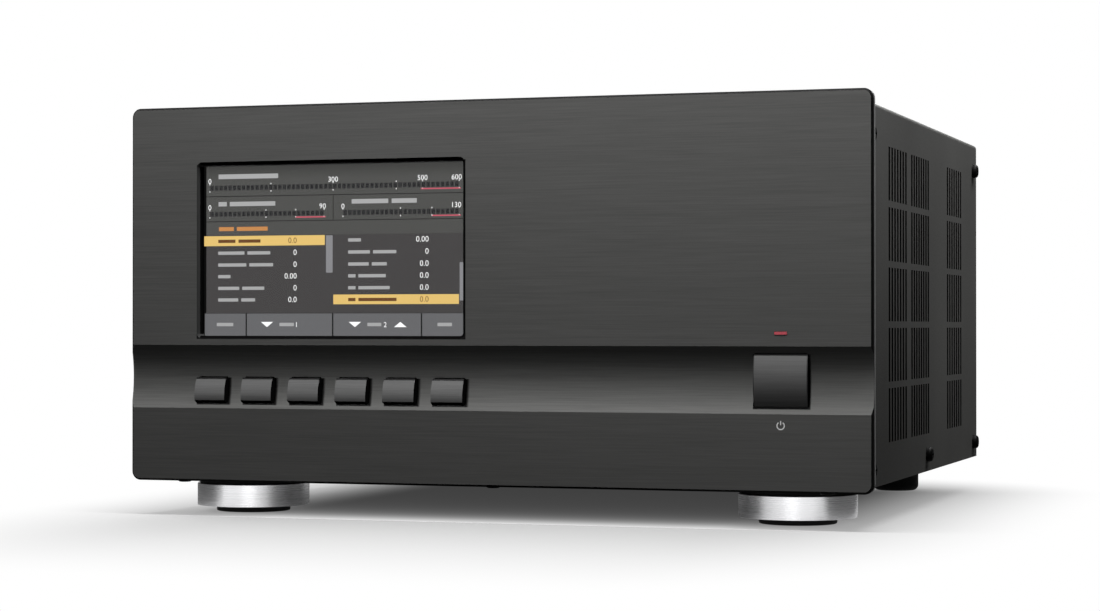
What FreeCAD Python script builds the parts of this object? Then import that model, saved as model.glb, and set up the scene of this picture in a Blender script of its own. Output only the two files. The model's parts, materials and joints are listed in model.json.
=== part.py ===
"""Desk-top HF linear amplifier, one node per piece, in millimetres.

While the pieces are built, X runs to the right from the middle of the front panel, Y runs back
from the panel's front plane and Z runs up from the panel's bottom edge.  At the end everything
is shifted so that the origin lies on the floor, in the middle of the footprint.
"""
import FreeCAD
import Part
import math
import os

# ---- front panel -------------------------------------------------------------------------
panel_width = 293.0
panel_height = 145.0
panel_thickness = 4.0
panel_corner = 3.5
panel_chamfer = 0.8
cove_bottom = 28.3
cove_top = 52.75
cove_depth = 1.9

# ---- display -----------------------------------------------------------------------------
display_inset = 83.25
display_z = 89.4
opening_width = 108.5
opening_height = 66.2
opening_corner = 1.2
opening_chamfer = 1.0
window_thickness = 0.8
window_overlap = 3.0
module_width = 120.7
module_height = 75.8
module_thickness = 3.6
frame_sheet = 1.2
frame_ear = 9.0
frame_ear_height = 60.0

# ---- keys --------------------------------------------------------------------------------
key_count = 6
key_pitch = 19.5
key_width = 12.6
key_bottom = 30.35
key_top = 40.2
key_face_bottom = 31.5
key_face_radius = 15.0
key_proud_bottom = 2.3
key_proud_top = 0.3
key_underside_back = 0.4
key_gap = 0.4
key_hole_corner = 1.2
key_travel = 0.6
key_flange_lip = 1.5
key_flange_thickness = 1.2
key_stem = 4.0
key_switch_size = 10.0
key_switch_depth = 3.5

# ---- power button ------------------------------------------------------------------------
button_inset = 33.7
button_width = 20.0
button_height = 19.2
button_z = 40.3
button_face_radius = 36.0
button_set_back = 0.3
button_gap = 0.4
button_travel = 1.5
button_flange_lip = 3.0
button_flange_thickness = 1.5
button_switch_size = 12.0
button_switch_depth = 6.5
plunger_size = 4.0
lamp_z = 57.5
lamp_width = 4.5
lamp_height = 1.0

# ---- sheet-metal case --------------------------------------------------------------------
sheet = 1.5
cover_sheet = 1.2
cover_bend = 1.8
cover_inset = 3.05
cover_bottom = 1.5
cover_top_drop = 3.5
rear_room = 32.5
flange_depth = 12.0
flange_gap = 3.0
side_flange_height = 15.0
rear_inset = 0.5
vent_width = 2.3
vent_height = 20.1
vent_pitch_z = 22.57
vent_rows = 5
vent_bottom = 16.7
vent_groups = ((46.2, 83.0, 7), (93.6, 133.2, 8), (178.4, 215.5, 7))

# ---- fasteners ---------------------------------------------------------------------------
m3_radius = 1.5
m3_head_radius = 3.0
m3_head_height = 2.4
m3_hole = 1.7
m4_radius = 2.0
m4_head_radius = 3.5
m4_head_height = 2.6
m4_hole = 2.2
thread_clearance = 0.05
panel_screw_length = 4.0
case_screw_length = 6.0
bracket_screw_length = 4.0
case_screw_front = 5.0
case_screw_middle = 129.0
case_screw_rear = 10.0
case_screw_low = 8.3
case_screw_high = 129.3
base_screw_side = 18.5
base_screw_front = 5.5
base_screw_rear = 9.5
panel_screw_side = 12.5
panel_screw_edge = 12.0
panel_screw_reach = 88.25

# ---- clearances --------------------------------------------------------------------------
seam = 0.2
slip = 0.3
seat_gap = 0.1
shaft_gap = 0.05

# ---- feet --------------------------------------------------------------------------------
foot_height = 13.4
front_foot_side = 35.5
front_foot_y = 36.5
foot_radius = 22.2
foot_top_drop = 2.1
foot_ring_height = 8.8
foot_hub_radius = 13.0
pad_radius = 14.6
pad_recess = 1.5
pad_bore = 5.0
rear_foot_side = 36.5
rear_foot_setback = 17.5
rear_foot_radius = 10.0
rear_foot_round = 2.5
foot_screw_web = 3.0

# ---- cooling -----------------------------------------------------------------------------
sink_gap = 8.0
sink_length = 140.0
sink_front = 62.0
sink_fin_height = 60.0
sink_base = 10.0
fin_thickness = 2.0
fin_pitch = 8.0
outer_fin = 8.0
spreader_thickness = 6.0
spreader_screw_depth = 5.0
spreader_length = 100.0
spreader_width = 100.0
fan_size = 80.0
fan_depth = 25.0
fan_gap = 4.0
fan_hole_inset = 4.25
bracket_screw_inset = 12.0
fan_lift = 3.0
fan_hub_radius = 17.0
fan_blades = 7
fan_shaft_radius = 1.5
fan_tip_gap = 1.5
fan_post_length = 4.0
fan_blade_pitch = 52.0

# ---- boards ------------------------------------------------------------------------------
board = 1.6
standoff_radius = 3.0
front_board_gap = 10.5
front_board_side = 18.5
front_board_bottom = 8.0
front_board_top = 48.0
front_board_ear_reach = 17.8
front_standoff_low = 14.0
front_standoff_high = 44.0
front_board_ear_top = 64.0
control_gap = 10.0
control_half_width = 52.0
control_half_height = 33.0
control_chips = ((-20.0, 12.0, 14.0, 14.0, 1.6), (8.0, 14.0, 18.0, 10.0, 1.6),
                 (30.0, 10.0, 9.0, 9.0, 1.2), (-38.0, -4.0, 8.0, 16.0, 6.0),
                 (34.0, -14.0, 20.0, 8.0, 5.0))
amplifier_board_gap = 9.0
capacitor_inset = 20.0
capacitor_radius = 4.0
capacitor_height = 12.0
capacitor_pitch = 20.0
transistor_width = 34.0
transistor_depth = 12.0
transistor_flange = 1.6
transistor_lid = (20.0, 10.0, 3.0)
transistor_screw_offset = 14.0
transistor_spacing = 44.0
output_core = (46.0, 34.0, 20.0)
input_core = (26.0, 20.0, 12.0)
core_offset = 42.0
board_edge = 4.0

# ---- supply and filter -------------------------------------------------------------------
supply_gap = 8.05
supply_width = 64.0
supply_front = 62.0
supply_length = 150.0
supply_height = 42.0
supply_sheet = 1.0
supply_board_lift = 6.0
supply_blocks = ((0.0, 0.0, 32.0, 40.0, 0.8), (23.0, 0.0, 6.0, 110.0, 0.75), (-18.0, 53.0, 16.0, 18.0, 0.55))
supply_cans = ((-15.0, 7.0, 0.8), (6.0, 6.0, 0.62))
supply_can_count = 3
supply_can_pitch = 16.0
supply_slot_count = 9
supply_slot_pitch = 6.0
filter_gap = 15.0
coil_radius = 8.0
coil_section = 3.2
relay_height = 12.0
relay_width = 5.0
relay_length = 20.0
relay_pitch = 28.0
relay_count = 4
coil_pitch = 23.0
coil_count = 5
coil_offset = 14.0

# ---- rear connectors ---------------------------------------------------------------------
inlet_side = 48.5
inlet_z = 26.0
inlet_flange_width = 50.0
inlet_flange_height = 27.0
inlet_body_width = 28.0
inlet_body_height = 21.0
inlet_body_depth = 20.0
inlet_flange_thickness = 3.0
inlet_recess_width = 24.0
inlet_recess_height = 16.4
inlet_recess_depth = 19.0
inlet_blade_length = 12.5
inlet_blades = ((-7.0, -2.0), (0.0, 2.0), (7.0, -2.0))
inlet_screw_offset = 20.0
tag_length = 8.0
tag_thickness = 0.8
rocker_step = 43.0
rocker_z = 26.0
rocker_frame_width = 21.0
rocker_frame_height = 30.0
rocker_frame_lip = 2.0
rocker_body_depth = 16.0
rocker_width = 15.5
rocker_height = 24.0
rocker_radius = 30.0
rocker_tilt = 5.0
rocker_pivot_radius = 1.6
rocker_pivot_depth = 3.0
fuse_step = 68.0
fuse_pitch = 20.0
fuse_z = 26.0
fuse_body_radius = 6.0
fuse_body_depth = 30.0
fuse_cap_radius = 7.5
fuse_cap_length = 9.0
socket_pitch = 58.0
socket_z = 96.0
socket_flange = 25.4
socket_flange_thickness = 1.6
socket_radius = 7.94
socket_bore = 6.6
socket_length = 18.0
socket_hole_pitch = 18.1
socket_back_length = 8.0
ground_step = 124.0
ground_z = 24.0
ground_radius = 3.0
ground_length = 21.0
ground_nut_radius = 7.0
ground_nut_length = 7.0
data_side = 54.5
data_pitch = 54.0
data_z = 108.0
data_shell_width = (25.0, 16.9)
data_shell_height = 11.0
phono_side = 42.5
phono_pitch = 18.0
phono_count = 4
phono_z = 62.0
phono_radius = 4.15
phono_length = 8.0
phono_strip = 1.0
phono_collar = 0.8
phono_bore = 1.7
phono_bore_depth = 8.5
lead_radius = 1.8
supply_lead_radius = 1.5
ribbon_width = 25.0
ribbon_thickness = 0.9
ribbon_bend = 5.0
front_header_z = 30.0
control_header_z = 66.0
header_height = 8.0
header_depth = 4.5

# ---- places that follow from the sizes ---------------------------------------------------
vector = FreeCAD.Vector
along_x = vector(1, 0, 0)
along_y = vector(0, 1, 0)
along_z = vector(0, 0, 1)
panel_half = panel_width / 2
panel_back = panel_thickness
display_x = display_inset - panel_half
button_x = panel_half - button_inset
sink_width = 2 * fan_size + fan_gap
sink_back = sink_front + sink_width
cover_rear = sink_back + rear_room
case_screw_y = (panel_back + case_screw_front, case_screw_middle, cover_rear - case_screw_rear)
base_screw_x = panel_half - base_screw_side
front_foot_x = panel_half - front_foot_side
rear_foot_x = panel_half - rear_foot_side
rear_foot_y = cover_rear - rear_foot_setback
cover_outer_x = panel_half - cover_inset
cover_inner_x = cover_outer_x - cover_sheet
cover_top = panel_height - cover_top_drop
cover_inner_top = cover_top - cover_sheet
tray_half = cover_inner_x - seam
tray_inner = tray_half - sheet
floor_sheet_top = cover_bottom + sheet
front_sheet_back = panel_back + sheet
front_top = cover_inner_top - seam
rear_face = cover_rear - rear_inset
rear_sheet_front = rear_face - sheet
key_x = [display_x + (step - (key_count - 1) / 2) * key_pitch for step in range(key_count)]
flange_front = panel_back + slip
key_hole_bottom = key_bottom - slip
key_hole_top = key_top + key_gap
front_board_front = front_sheet_back + front_board_gap
front_board_back = front_board_front + board
window_back = panel_back + window_thickness
module_back = window_back + module_thickness
frame_back = module_back + frame_sheet
control_front = frame_back + control_gap
control_back = control_front + board
supply_left = supply_gap - tray_half
supply_right = supply_left + supply_width
sink_left = supply_right + sink_gap
sink_right = sink_left + sink_length
sink_base_bottom = floor_sheet_top + sink_fin_height
sink_top = sink_base_bottom + sink_base
spreader_top = sink_top + spreader_thickness
sink_middle_x = (sink_left + sink_right) / 2
sink_middle_y = (sink_front + sink_back) / 2
bracket_left = sink_right + seam
bracket_right = bracket_left + sheet
fan_bottom = floor_sheet_top + fan_lift
fan_z = fan_bottom + fan_size / 2
fan_y = [sink_middle_y - (fan_size + fan_gap) / 2, sink_middle_y + (fan_size + fan_gap) / 2]
fan_right = bracket_right + fan_depth
fan_opening = fan_size / 2 - 1.5
amplifier_board_bottom = sink_top + amplifier_board_gap
amplifier_board_top = amplifier_board_bottom + board
supply_back = supply_front + supply_length
supply_top = floor_sheet_top + supply_height
supply_middle_x = (supply_left + supply_right) / 2
filter_bottom = supply_top + filter_gap
filter_top = filter_bottom + board
inlet_x = inlet_side - panel_half
rocker_x = inlet_x + rocker_step
fuse_x = (inlet_x + fuse_step, inlet_x + fuse_step + fuse_pitch)
socket_x = (inlet_x, inlet_x + socket_pitch)
ground_x = inlet_x + ground_step
data_x = (panel_half - data_side - data_pitch, panel_half - data_side)
phono_x = [panel_half - phono_side - step * phono_pitch for step in reversed(range(phono_count))]
foot_top = -foot_top_drop
foot_bottom = foot_top - foot_ring_height
floor_z = -foot_height


# ---- helpers -----------------------------------------------------------------------------
def block(x0, x1, y0, y1, z0, z1):
    """A box between two limits on each axis."""
    return Part.makeBox(x1 - x0, y1 - y0, z1 - z0, vector(x0, y0, z0))


def centred(x, y0, y1, z, width, height):
    """A box that is centred in X and Z."""
    return block(x - width / 2, x + width / 2, y0, y1, z - height / 2, z + height / 2)


def rod(x, y, z, radius, length, axis):
    """A cylinder that starts at a point and runs along an axis."""
    return Part.makeCylinder(radius, length, vector(x, y, z), axis)


def joined(shapes):
    """One solid from pieces that overlap or touch."""
    return shapes[0].fuse(shapes[1:]).removeSplitter()


def group(shapes):
    """Separate solids of one node."""
    return Part.makeCompound(shapes)


def edges_along(shape, axis):
    """The straight edges that run along an axis."""
    found = []
    for edge in shape.Edges:
        start = edge.valueAt(edge.FirstParameter)
        end = edge.valueAt(edge.LastParameter)
        run = end - start
        if run.Length > 1e-6 and abs(abs(run.dot(axis)) - run.Length) < 1e-6:
            found.append(edge)
    return found


def edges_on(shape, place, value):
    """The edges that lie in a plane; place picks a coordinate, such as the y of a point."""
    found = []
    for edge in shape.Edges:
        middle = edge.valueAt((edge.FirstParameter + edge.LastParameter) / 2)
        ends = [vertex.Point for vertex in edge.Vertexes]
        if all(abs(place(point) - value) < 1e-6 for point in ends + [middle]):
            found.append(edge)
    return found


def rounded(shape, radius, axis):
    """Rounds the edges that run along an axis."""
    return shape.makeFillet(radius, edges_along(shape, axis))


def rounded_window(x, z, width, height, corner, y0, y1):
    """A prism along Y with rounded corners."""
    return rounded(centred(x, y0, y1, z, width, height), corner, along_y)


def profile_prism(points, x0, x1):
    """A closed outline of (y, z) points, drawn out along X."""
    corners = [vector(x0, y, z) for y, z in points]
    face = Part.Face(Part.makePolygon(corners + corners[:1]))
    return face.extrude(vector(x1 - x0, 0, 0))


def screw(seat, axis, radius, length, head_radius, head_height):
    """A pan-head screw with a cross recess; axis points from the head along the shank."""
    back = -axis
    head = Part.makeCylinder(head_radius, head_height, seat, back)
    rim = [edge for edge in head.Edges if edge.Length > head_radius
           and abs((edge.valueAt(edge.FirstParameter) - seat).dot(back) - head_height) < 1e-6]
    head = head.makeFillet(head_height * 0.55, rim)
    shank = Part.makeCylinder(radius, length, seat, axis)
    side = vector(axis.y, axis.z, axis.x)
    other = axis.cross(side)
    slot = head_radius * 1.15
    depth = head_height * 0.5
    width = head_radius * 0.26
    recess = []
    for long_way, short_way in ((side, other), (other, side)):
        corner = seat + back * (head_height - depth) - long_way * (slot / 2) - short_way * (width / 2)
        wire = Part.makePolygon([corner, corner + long_way * slot,
                                 corner + long_way * slot + short_way * width,
                                 corner + short_way * width, corner])
        recess.append(Part.Face(wire).extrude(back * (depth + 1)))
    return joined([head, shank]).cut(recess)


def m3_screw(seat, axis, length):
    return screw(seat, axis, m3_radius, length, m3_head_radius, m3_head_height)


def m4_screw(seat, axis, length):
    return screw(seat, axis, m4_radius, length, m4_head_radius, m4_head_height)


def pipe(points, bends, radius):
    """A round lead: straight runs joined by tangent arcs, one bend radius per inner point."""
    edges = []
    start = points[0]
    for index, bend in enumerate(bends, 1):
        before = (points[index] - points[index - 1]).normalize()
        after = (points[index + 1] - points[index]).normalize()
        half_turn = before.getAngle(after) / 2
        reach = bend * math.tan(half_turn)
        entry = points[index] - before * reach
        leave = points[index] + after * reach
        inward = (after - before).normalize()
        centre = points[index] + inward * (bend / math.cos(half_turn))
        middle = centre - inward * bend
        edges.append(Part.LineSegment(start, entry).toShape())
        edges.append(Part.Arc(entry, middle, leave).toShape())
        start = leave
    edges.append(Part.LineSegment(start, points[-1]).toShape())
    path = Part.Wire(edges)
    section = Part.Wire([Part.makeCircle(radius, points[0], (points[1] - points[0]).normalize())])
    return path.makePipeShell([section], True, False)


def standoff(x, y, z, length, axis):
    """A round spacer with a threaded bore."""
    outer = rod(x, y, z, standoff_radius, length, axis)
    return outer.cut(rod(x, y, z, m3_radius + thread_clearance, length, axis))


# ---- front panel, display and keys -------------------------------------------------------
panel_screw_places = [(x, z) for z in (panel_screw_edge, panel_height - panel_screw_edge)
                      for x in (panel_screw_side - panel_half, display_x + panel_screw_reach,
                                panel_half - panel_screw_side)]
frame_screw_x = (display_x - (module_width + frame_ear) / 2, display_x + (module_width + frame_ear) / 2)
frame_screw_z = (display_z - (frame_ear_height - frame_ear) / 2,
                 display_z + (frame_ear_height - frame_ear) / 2)
frame_screw_places = [(x, z) for x in frame_screw_x for z in frame_screw_z]
front_board_half = panel_half - front_board_side
front_standoff_places = [(board_edge - front_board_half, front_standoff_low),
                         (0.0, front_standoff_low),
                         (front_board_half - 1.5 * board_edge, front_standoff_low),
                         (board_edge - front_board_half, front_standoff_high),
                         (display_x + module_width / 2 + board_edge, front_standoff_high),
                         (button_x - button_width, front_standoff_high)]
control_places = [(display_x + sx * (control_half_width - board_edge),
                   display_z + sz * (control_half_height - board_edge))
                  for sx in (-1, 1) for sz in (-1, 1)]


def cove():
    """The shallow round channel across the whole panel."""
    half = (cove_top - cove_bottom) / 2
    radius = (half ** 2 + cove_depth ** 2) / (2 * cove_depth)
    middle = (cove_top + cove_bottom) / 2
    return rod(-panel_half - 1, cove_depth - radius, middle, radius, panel_width + 2, along_x)


def make_front_panel():
    plate = rounded(block(-panel_half, panel_half, 0, panel_thickness, 0, panel_height),
                    panel_corner, along_y)
    plate = plate.makeChamfer(panel_chamfer, edges_on(plate, lambda point: point.y, 0))
    opening = rounded_window(display_x, display_z, opening_width, opening_height, opening_corner,
                             -1, panel_thickness + 1)
    plate = plate.cut(opening)
    half = opening_width / 2 + 1
    rim = [edge for edge in edges_on(plate, lambda point: point.y, 0)
           if abs(edge.CenterOfMass.x - display_x) < half
           and abs(edge.CenterOfMass.z - display_z) < opening_height / 2 + 1]
    plate = plate.makeChamfer(opening_chamfer, rim)
    holes = [cove()]
    for x in key_x:
        height = key_hole_top - key_hole_bottom
        holes.append(rounded_window(x, (key_hole_top + key_hole_bottom) / 2, key_width + 2 * key_gap,
                                    height, key_hole_corner, -1, panel_thickness + 1))
    holes.append(rounded_window(button_x, button_z, button_width + 2 * button_gap,
                                button_height + 2 * button_gap, key_hole_corner,
                                -1, panel_thickness + 1))
    holes.append(centred(button_x, -1, panel_thickness + 1, lamp_z,
                         lamp_width + 2 * seat_gap, lamp_height + 2 * seat_gap))
    for x, z in panel_screw_places:
        depth = panel_screw_length - sheet + slip
        holes.append(rod(x, panel_back - depth, z, m3_radius + thread_clearance, depth, along_y))
    return plate.cut(holes)


def make_display_window():
    return rounded_window(display_x, display_z, opening_width + 2 * window_overlap,
                          opening_height + 2 * window_overlap, opening_corner,
                          panel_back, window_back)


def make_display_module():
    """Metal-backed display with its glass step and a flat-cable exit."""
    body = centred(display_x, window_back, module_back, display_z, module_width, module_height)
    step = 1.2
    rim = centred(display_x, window_back, window_back + 0.6, display_z, module_width, module_height)
    rim = rim.cut(centred(display_x, window_back, window_back + 0.6, display_z,
                          module_width - 2 * step, module_height - 2 * step))
    return rounded(body.cut(rim), 0.8, along_y)


def make_display_frame():
    """Plate that clamps the display to the sub-panel, with four ears on bosses."""
    plate = centred(display_x, module_back, frame_back, display_z,
                    module_width + 2 * frame_ear, frame_ear_height)
    middle = centred(display_x, module_back, frame_back, display_z, module_width, module_height)
    exit_slot = centred(display_x, module_back - 1, frame_back + 1, display_z, 50.0, 12.0)
    bosses = [rod(x, front_sheet_back, z, standoff_radius, module_back - front_sheet_back, along_y)
              for x, z in frame_screw_places]
    frame = joined([plate, middle] + bosses)
    holes = [exit_slot]
    for x, z in frame_screw_places:
        holes.append(rod(x, front_sheet_back, z, m3_hole, frame_back - front_sheet_back, along_y))
    for x, z in control_places:
        holes.append(rod(x, module_back, z, m3_radius + thread_clearance, frame_sheet, along_y))
    return frame.cut(holes)


def key_face_points():
    """Ends and middle of the arched face of a key, as (y, z)."""
    top = vector(0, -key_proud_top, key_top)
    low = vector(0, -key_proud_bottom, key_face_bottom)
    chord = low - top
    sag = key_face_radius - math.sqrt(key_face_radius ** 2 - (chord.Length / 2) ** 2)
    outward = vector(0, chord.z, -chord.y).normalize()
    return top, (top + low) / 2 + outward * sag, low


def make_key_cap(x):
    """Key with an arched face, a bevelled underside, a retaining flange and a stem."""
    top, middle, low = key_face_points()
    under = vector(0, -key_underside_back, key_bottom)
    back_low = vector(0, flange_front, key_bottom)
    back_top = vector(0, flange_front, key_top)
    outline = Part.Wire([Part.Arc(top, middle, low).toShape(),
                         Part.LineSegment(low, under).toShape(),
                         Part.LineSegment(under, back_low).toShape(),
                         Part.LineSegment(back_low, back_top).toShape(),
                         Part.LineSegment(back_top, top).toShape()])
    cap = Part.Face(outline).extrude(vector(key_width, 0, 0))
    cap.translate(vector(x - key_width / 2, 0, 0))
    flange_back = flange_front + key_flange_thickness
    flange = block(x - key_width / 2 - key_flange_lip, x + key_width / 2 + key_flange_lip,
                   flange_front, flange_back, key_bottom - key_flange_lip, key_top + key_flange_lip)
    stem_end = front_board_front - key_switch_depth + key_travel
    stem = centred(x, flange_back, stem_end, (key_bottom + key_top) / 2, key_stem, key_stem)
    return joined([cap, flange, stem])


def make_key_switches():
    """Switch bodies on the front board, each with a well that takes a key's stem."""
    bodies = []
    for x in key_x:
        z = (key_bottom + key_top) / 2
        front = front_board_front - key_switch_depth
        body = centred(x, front, front_board_front, z, key_switch_size, key_switch_size)
        well_depth = 2 * key_travel + slip
        well = centred(x, front, front + well_depth, z, key_stem + 2 * slip, key_stem + 2 * slip)
        bodies.append(body.cut(well))
    return group(bodies)


def make_power_button():
    """Large button with an arched face and a retaining flange."""
    low = vector(0, button_set_back, button_z - button_height / 2)
    top = vector(0, button_set_back, button_z + button_height / 2)
    sag = button_face_radius - math.sqrt(button_face_radius ** 2 - (button_height / 2) ** 2)
    middle = vector(0, button_set_back - sag, button_z)
    back_low = vector(0, flange_front, low.z)
    back_top = vector(0, flange_front, top.z)
    outline = Part.Wire([Part.Arc(top, middle, low).toShape(),
                         Part.LineSegment(low, back_low).toShape(),
                         Part.LineSegment(back_low, back_top).toShape(),
                         Part.LineSegment(back_top, top).toShape()])
    cap = Part.Face(outline).extrude(vector(button_width, 0, 0))
    cap.translate(vector(button_x - button_width / 2, 0, 0))
    flange = centred(button_x, flange_front, flange_front + button_flange_thickness, button_z,
                     button_width + 2 * button_flange_lip, button_height + 2 * button_flange_lip)
    return joined([cap, flange])


def switch_front():
    return front_board_front - button_switch_depth


def make_power_plunger():
    """Square rod between the button and the slide of its switch."""
    start = flange_front + button_flange_thickness
    end = switch_front() + button_travel
    return centred(button_x, start, end, button_z, plunger_size, plunger_size)


def make_power_switch():
    body = centred(button_x, switch_front(), front_board_front, button_z,
                   button_switch_size, button_switch_size)
    well_depth = 2 * button_travel + 2 * slip
    well = centred(button_x, switch_front(), switch_front() + well_depth, button_z,
                   plunger_size + 2 * slip, plunger_size + 2 * slip)
    return body.cut(well)


def lamp_chip_front():
    return front_board_front - 1.0


def make_power_light():
    """Light pipe from the lamp on the front board to the panel's face."""
    end = lamp_chip_front() - slip
    bar = centred(button_x, -seat_gap, end, lamp_z, lamp_width, lamp_height)
    collar = centred(button_x, front_sheet_back, front_sheet_back + 1.5, lamp_z,
                     lamp_width + 3.0, lamp_height + 3.0)
    return joined([bar, collar])


# ---- boards behind the panel -------------------------------------------------------------
header_x = display_x + 20.0


def make_front_board():
    """Board for the keys, the power switch and the lamp, with its cable header."""
    main = block(-front_board_half, front_board_half, front_board_front, front_board_back,
                 front_board_bottom, front_board_top)
    ear = block(button_x - front_board_ear_reach, front_board_half, front_board_front, front_board_back,
                front_board_top, front_board_ear_top)
    header = centred(header_x, front_board_back, front_board_back + header_depth, front_header_z,
                     ribbon_width + 4.0, header_height)
    lamp = centred(button_x, lamp_chip_front(), front_board_front, lamp_z, 3.2, 1.6)
    whole = joined([main, ear, header, lamp])
    holes = [rod(x, front_board_front, z, m3_hole, board, along_y) for x, z in front_standoff_places]
    return whole.cut(holes)


def make_control_board():
    """Processor board on the back of the display frame."""
    plate = centred(display_x, control_front, control_back, display_z,
                    2 * control_half_width, 2 * control_half_height)
    parts = [plate]
    for dx, dz, width, height, depth in control_chips:
        parts.append(centred(display_x + dx, control_back, control_back + depth, display_z + dz,
                             width, height))
    parts.append(centred(header_x, control_back, control_back + header_depth, control_header_z,
                         ribbon_width + 4.0, header_height))
    whole = joined(parts)
    return whole.cut([rod(x, control_front, z, m3_hole, board, along_y) for x, z in control_places])


def make_ribbon_cable():
    """Flat cable that leaves the front header, rises and enters the control board's header."""
    low_end = front_board_back + header_depth
    high_end = control_back + header_depth
    back = high_end + ribbon_bend + ribbon_bend / 2
    left = header_x - ribbon_width / 2
    right = header_x + ribbon_width / 2
    half = ribbon_thickness / 2
    outer = block(left, right, low_end, back + half, front_header_z - half, control_header_z + half)
    turns = [edge for edge in edges_along(outer, along_x) if edge.CenterOfMass.y > back]
    outer = outer.makeFillet(ribbon_bend + half, turns)
    inner = block(left, right, low_end, back - half, front_header_z + half, control_header_z - half)
    turns = [edge for edge in edges_along(inner, along_x) if edge.CenterOfMass.y > low_end + 1]
    inner = inner.makeFillet(ribbon_bend - half, turns)
    above = block(left, right, low_end, high_end, front_header_z + half, control_header_z + 1)
    return outer.cut([inner, above])


# ---- case --------------------------------------------------------------------------------
def sheet_end(y_plate, y_flange_start, y_flange_end):
    """A case end: upright plate with side, top and bottom flanges."""
    top = front_top
    side_low = floor_sheet_top + side_flange_height + flange_gap
    plate = block(-tray_half, tray_half, y_plate, y_plate + sheet, floor_sheet_top, top)
    low = block(-tray_inner + flange_gap, tray_inner - flange_gap, y_flange_start, y_flange_end,
                floor_sheet_top, floor_sheet_top + sheet)
    high = block(-tray_inner + flange_gap, tray_inner - flange_gap, y_flange_start, y_flange_end,
                 top - sheet, top)
    left = block(-tray_half, -tray_inner, y_flange_start, y_flange_end, side_low, top - flange_gap)
    right = block(tray_inner, tray_half, y_flange_start, y_flange_end, side_low, top - flange_gap)
    return joined([plate, low, high, left, right])


base_screw_rows = (panel_back + base_screw_front, cover_rear - base_screw_rear)
edge_screw_places = [(x, y) for y in base_screw_rows for x in (-base_screw_x, 0.0, base_screw_x)]
sink_screw_places = [(x, y) for x in (sink_left + 20.0, sink_right - 20.0)
                     for y in (sink_front + outer_fin / 2, sink_back - outer_fin / 2)]
bracket_screw_span = sink_width / 2 - bracket_screw_inset
bracket_screw_places = [(bracket_right + 10.0, sink_middle_y + step * bracket_screw_span)
                        for step in (-1, 0, 1)]
supply_screw_places = [(x, y) for x in (supply_left + 8.0, supply_right - 8.0)
                       for y in (supply_front + 10.0, supply_back - 10.0)]
front_foot_places = [(-front_foot_x, front_foot_y), (front_foot_x, front_foot_y)]
rear_foot_places = [(-rear_foot_x, rear_foot_y), (rear_foot_x, rear_foot_y)]


def case_screw_heights(y):
    """Heights of the cover's screws at one place along its length."""
    return (case_screw_low,) if y == case_screw_y[1] else (case_screw_low, case_screw_high)


def side_holes(radius, half, heights_for):
    """Drills through both sides of the case at the cover's screws."""
    holes = []
    for y in case_screw_y:
        for z in heights_for(y):
            holes.append(rod(-half - 1, y, z, radius, 2 * half + 2, along_x))
    return holes


def make_chassis_base():
    """Tray: floor sheet with two upturned sides."""
    floor = block(-tray_half, tray_half, panel_back, rear_face, cover_bottom, floor_sheet_top)
    sides = []
    for low, high in ((-tray_half, -tray_inner), (tray_inner, tray_half)):
        sides.append(block(low, high, front_sheet_back + seam, rear_sheet_front - seam,
                           floor_sheet_top, floor_sheet_top + side_flange_height))
    tray = joined([floor] + sides)
    holes = side_holes(m3_radius + thread_clearance, tray_half, lambda y: (case_screw_low,))
    through = edge_screw_places + sink_screw_places + bracket_screw_places + supply_screw_places
    for x, y in through:
        holes.append(rod(x, y, cover_bottom, m3_hole, sheet, along_z))
    for x, y in front_foot_places + rear_foot_places:
        holes.append(rod(x, y, cover_bottom, m4_hole, sheet, along_z))
    return tray.cut(holes)


def high_only(y):
    return () if y == case_screw_y[1] else (case_screw_high,)


def make_chassis_front():
    """Sub-panel behind the front panel, open for the display, the keys and the power button."""
    end = sheet_end(panel_back, front_sheet_back, front_sheet_back + flange_depth)
    holes = side_holes(m3_radius + thread_clearance, tray_half, high_only)
    holes.append(centred(display_x, panel_back - 1, front_sheet_back + 1, display_z,
                         module_width + 2 * slip, module_height + 2 * slip))
    slot_side = key_width / 2 + key_flange_lip + 1.0
    holes.append(block(key_x[0] - slot_side, key_x[-1] + slot_side, panel_back - 1,
                       front_sheet_back + 1, key_bottom - key_flange_lip - 1.0,
                       key_top + key_flange_lip + 1.0))
    holes.append(centred(button_x, panel_back - 1, front_sheet_back + 1, button_z,
                         button_width + 2 * button_flange_lip + 1.2,
                         button_height + 2 * button_flange_lip + 1.2))
    holes.append(centred(button_x, panel_back - 1, front_sheet_back + 1, lamp_z,
                         lamp_width + 2 * slip, lamp_height + 2 * slip))
    for x, z in panel_screw_places:
        holes.append(rod(x, panel_back, z, m3_hole, sheet, along_y))
    for x, z in frame_screw_places + front_standoff_places:
        holes.append(rod(x, panel_back, z, m3_radius + thread_clearance, sheet, along_y))
    for x, y in edge_screw_places:
        holes.append(rod(x, y, floor_sheet_top, m3_radius + thread_clearance, sheet, along_z))
    return end.cut(holes)


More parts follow.
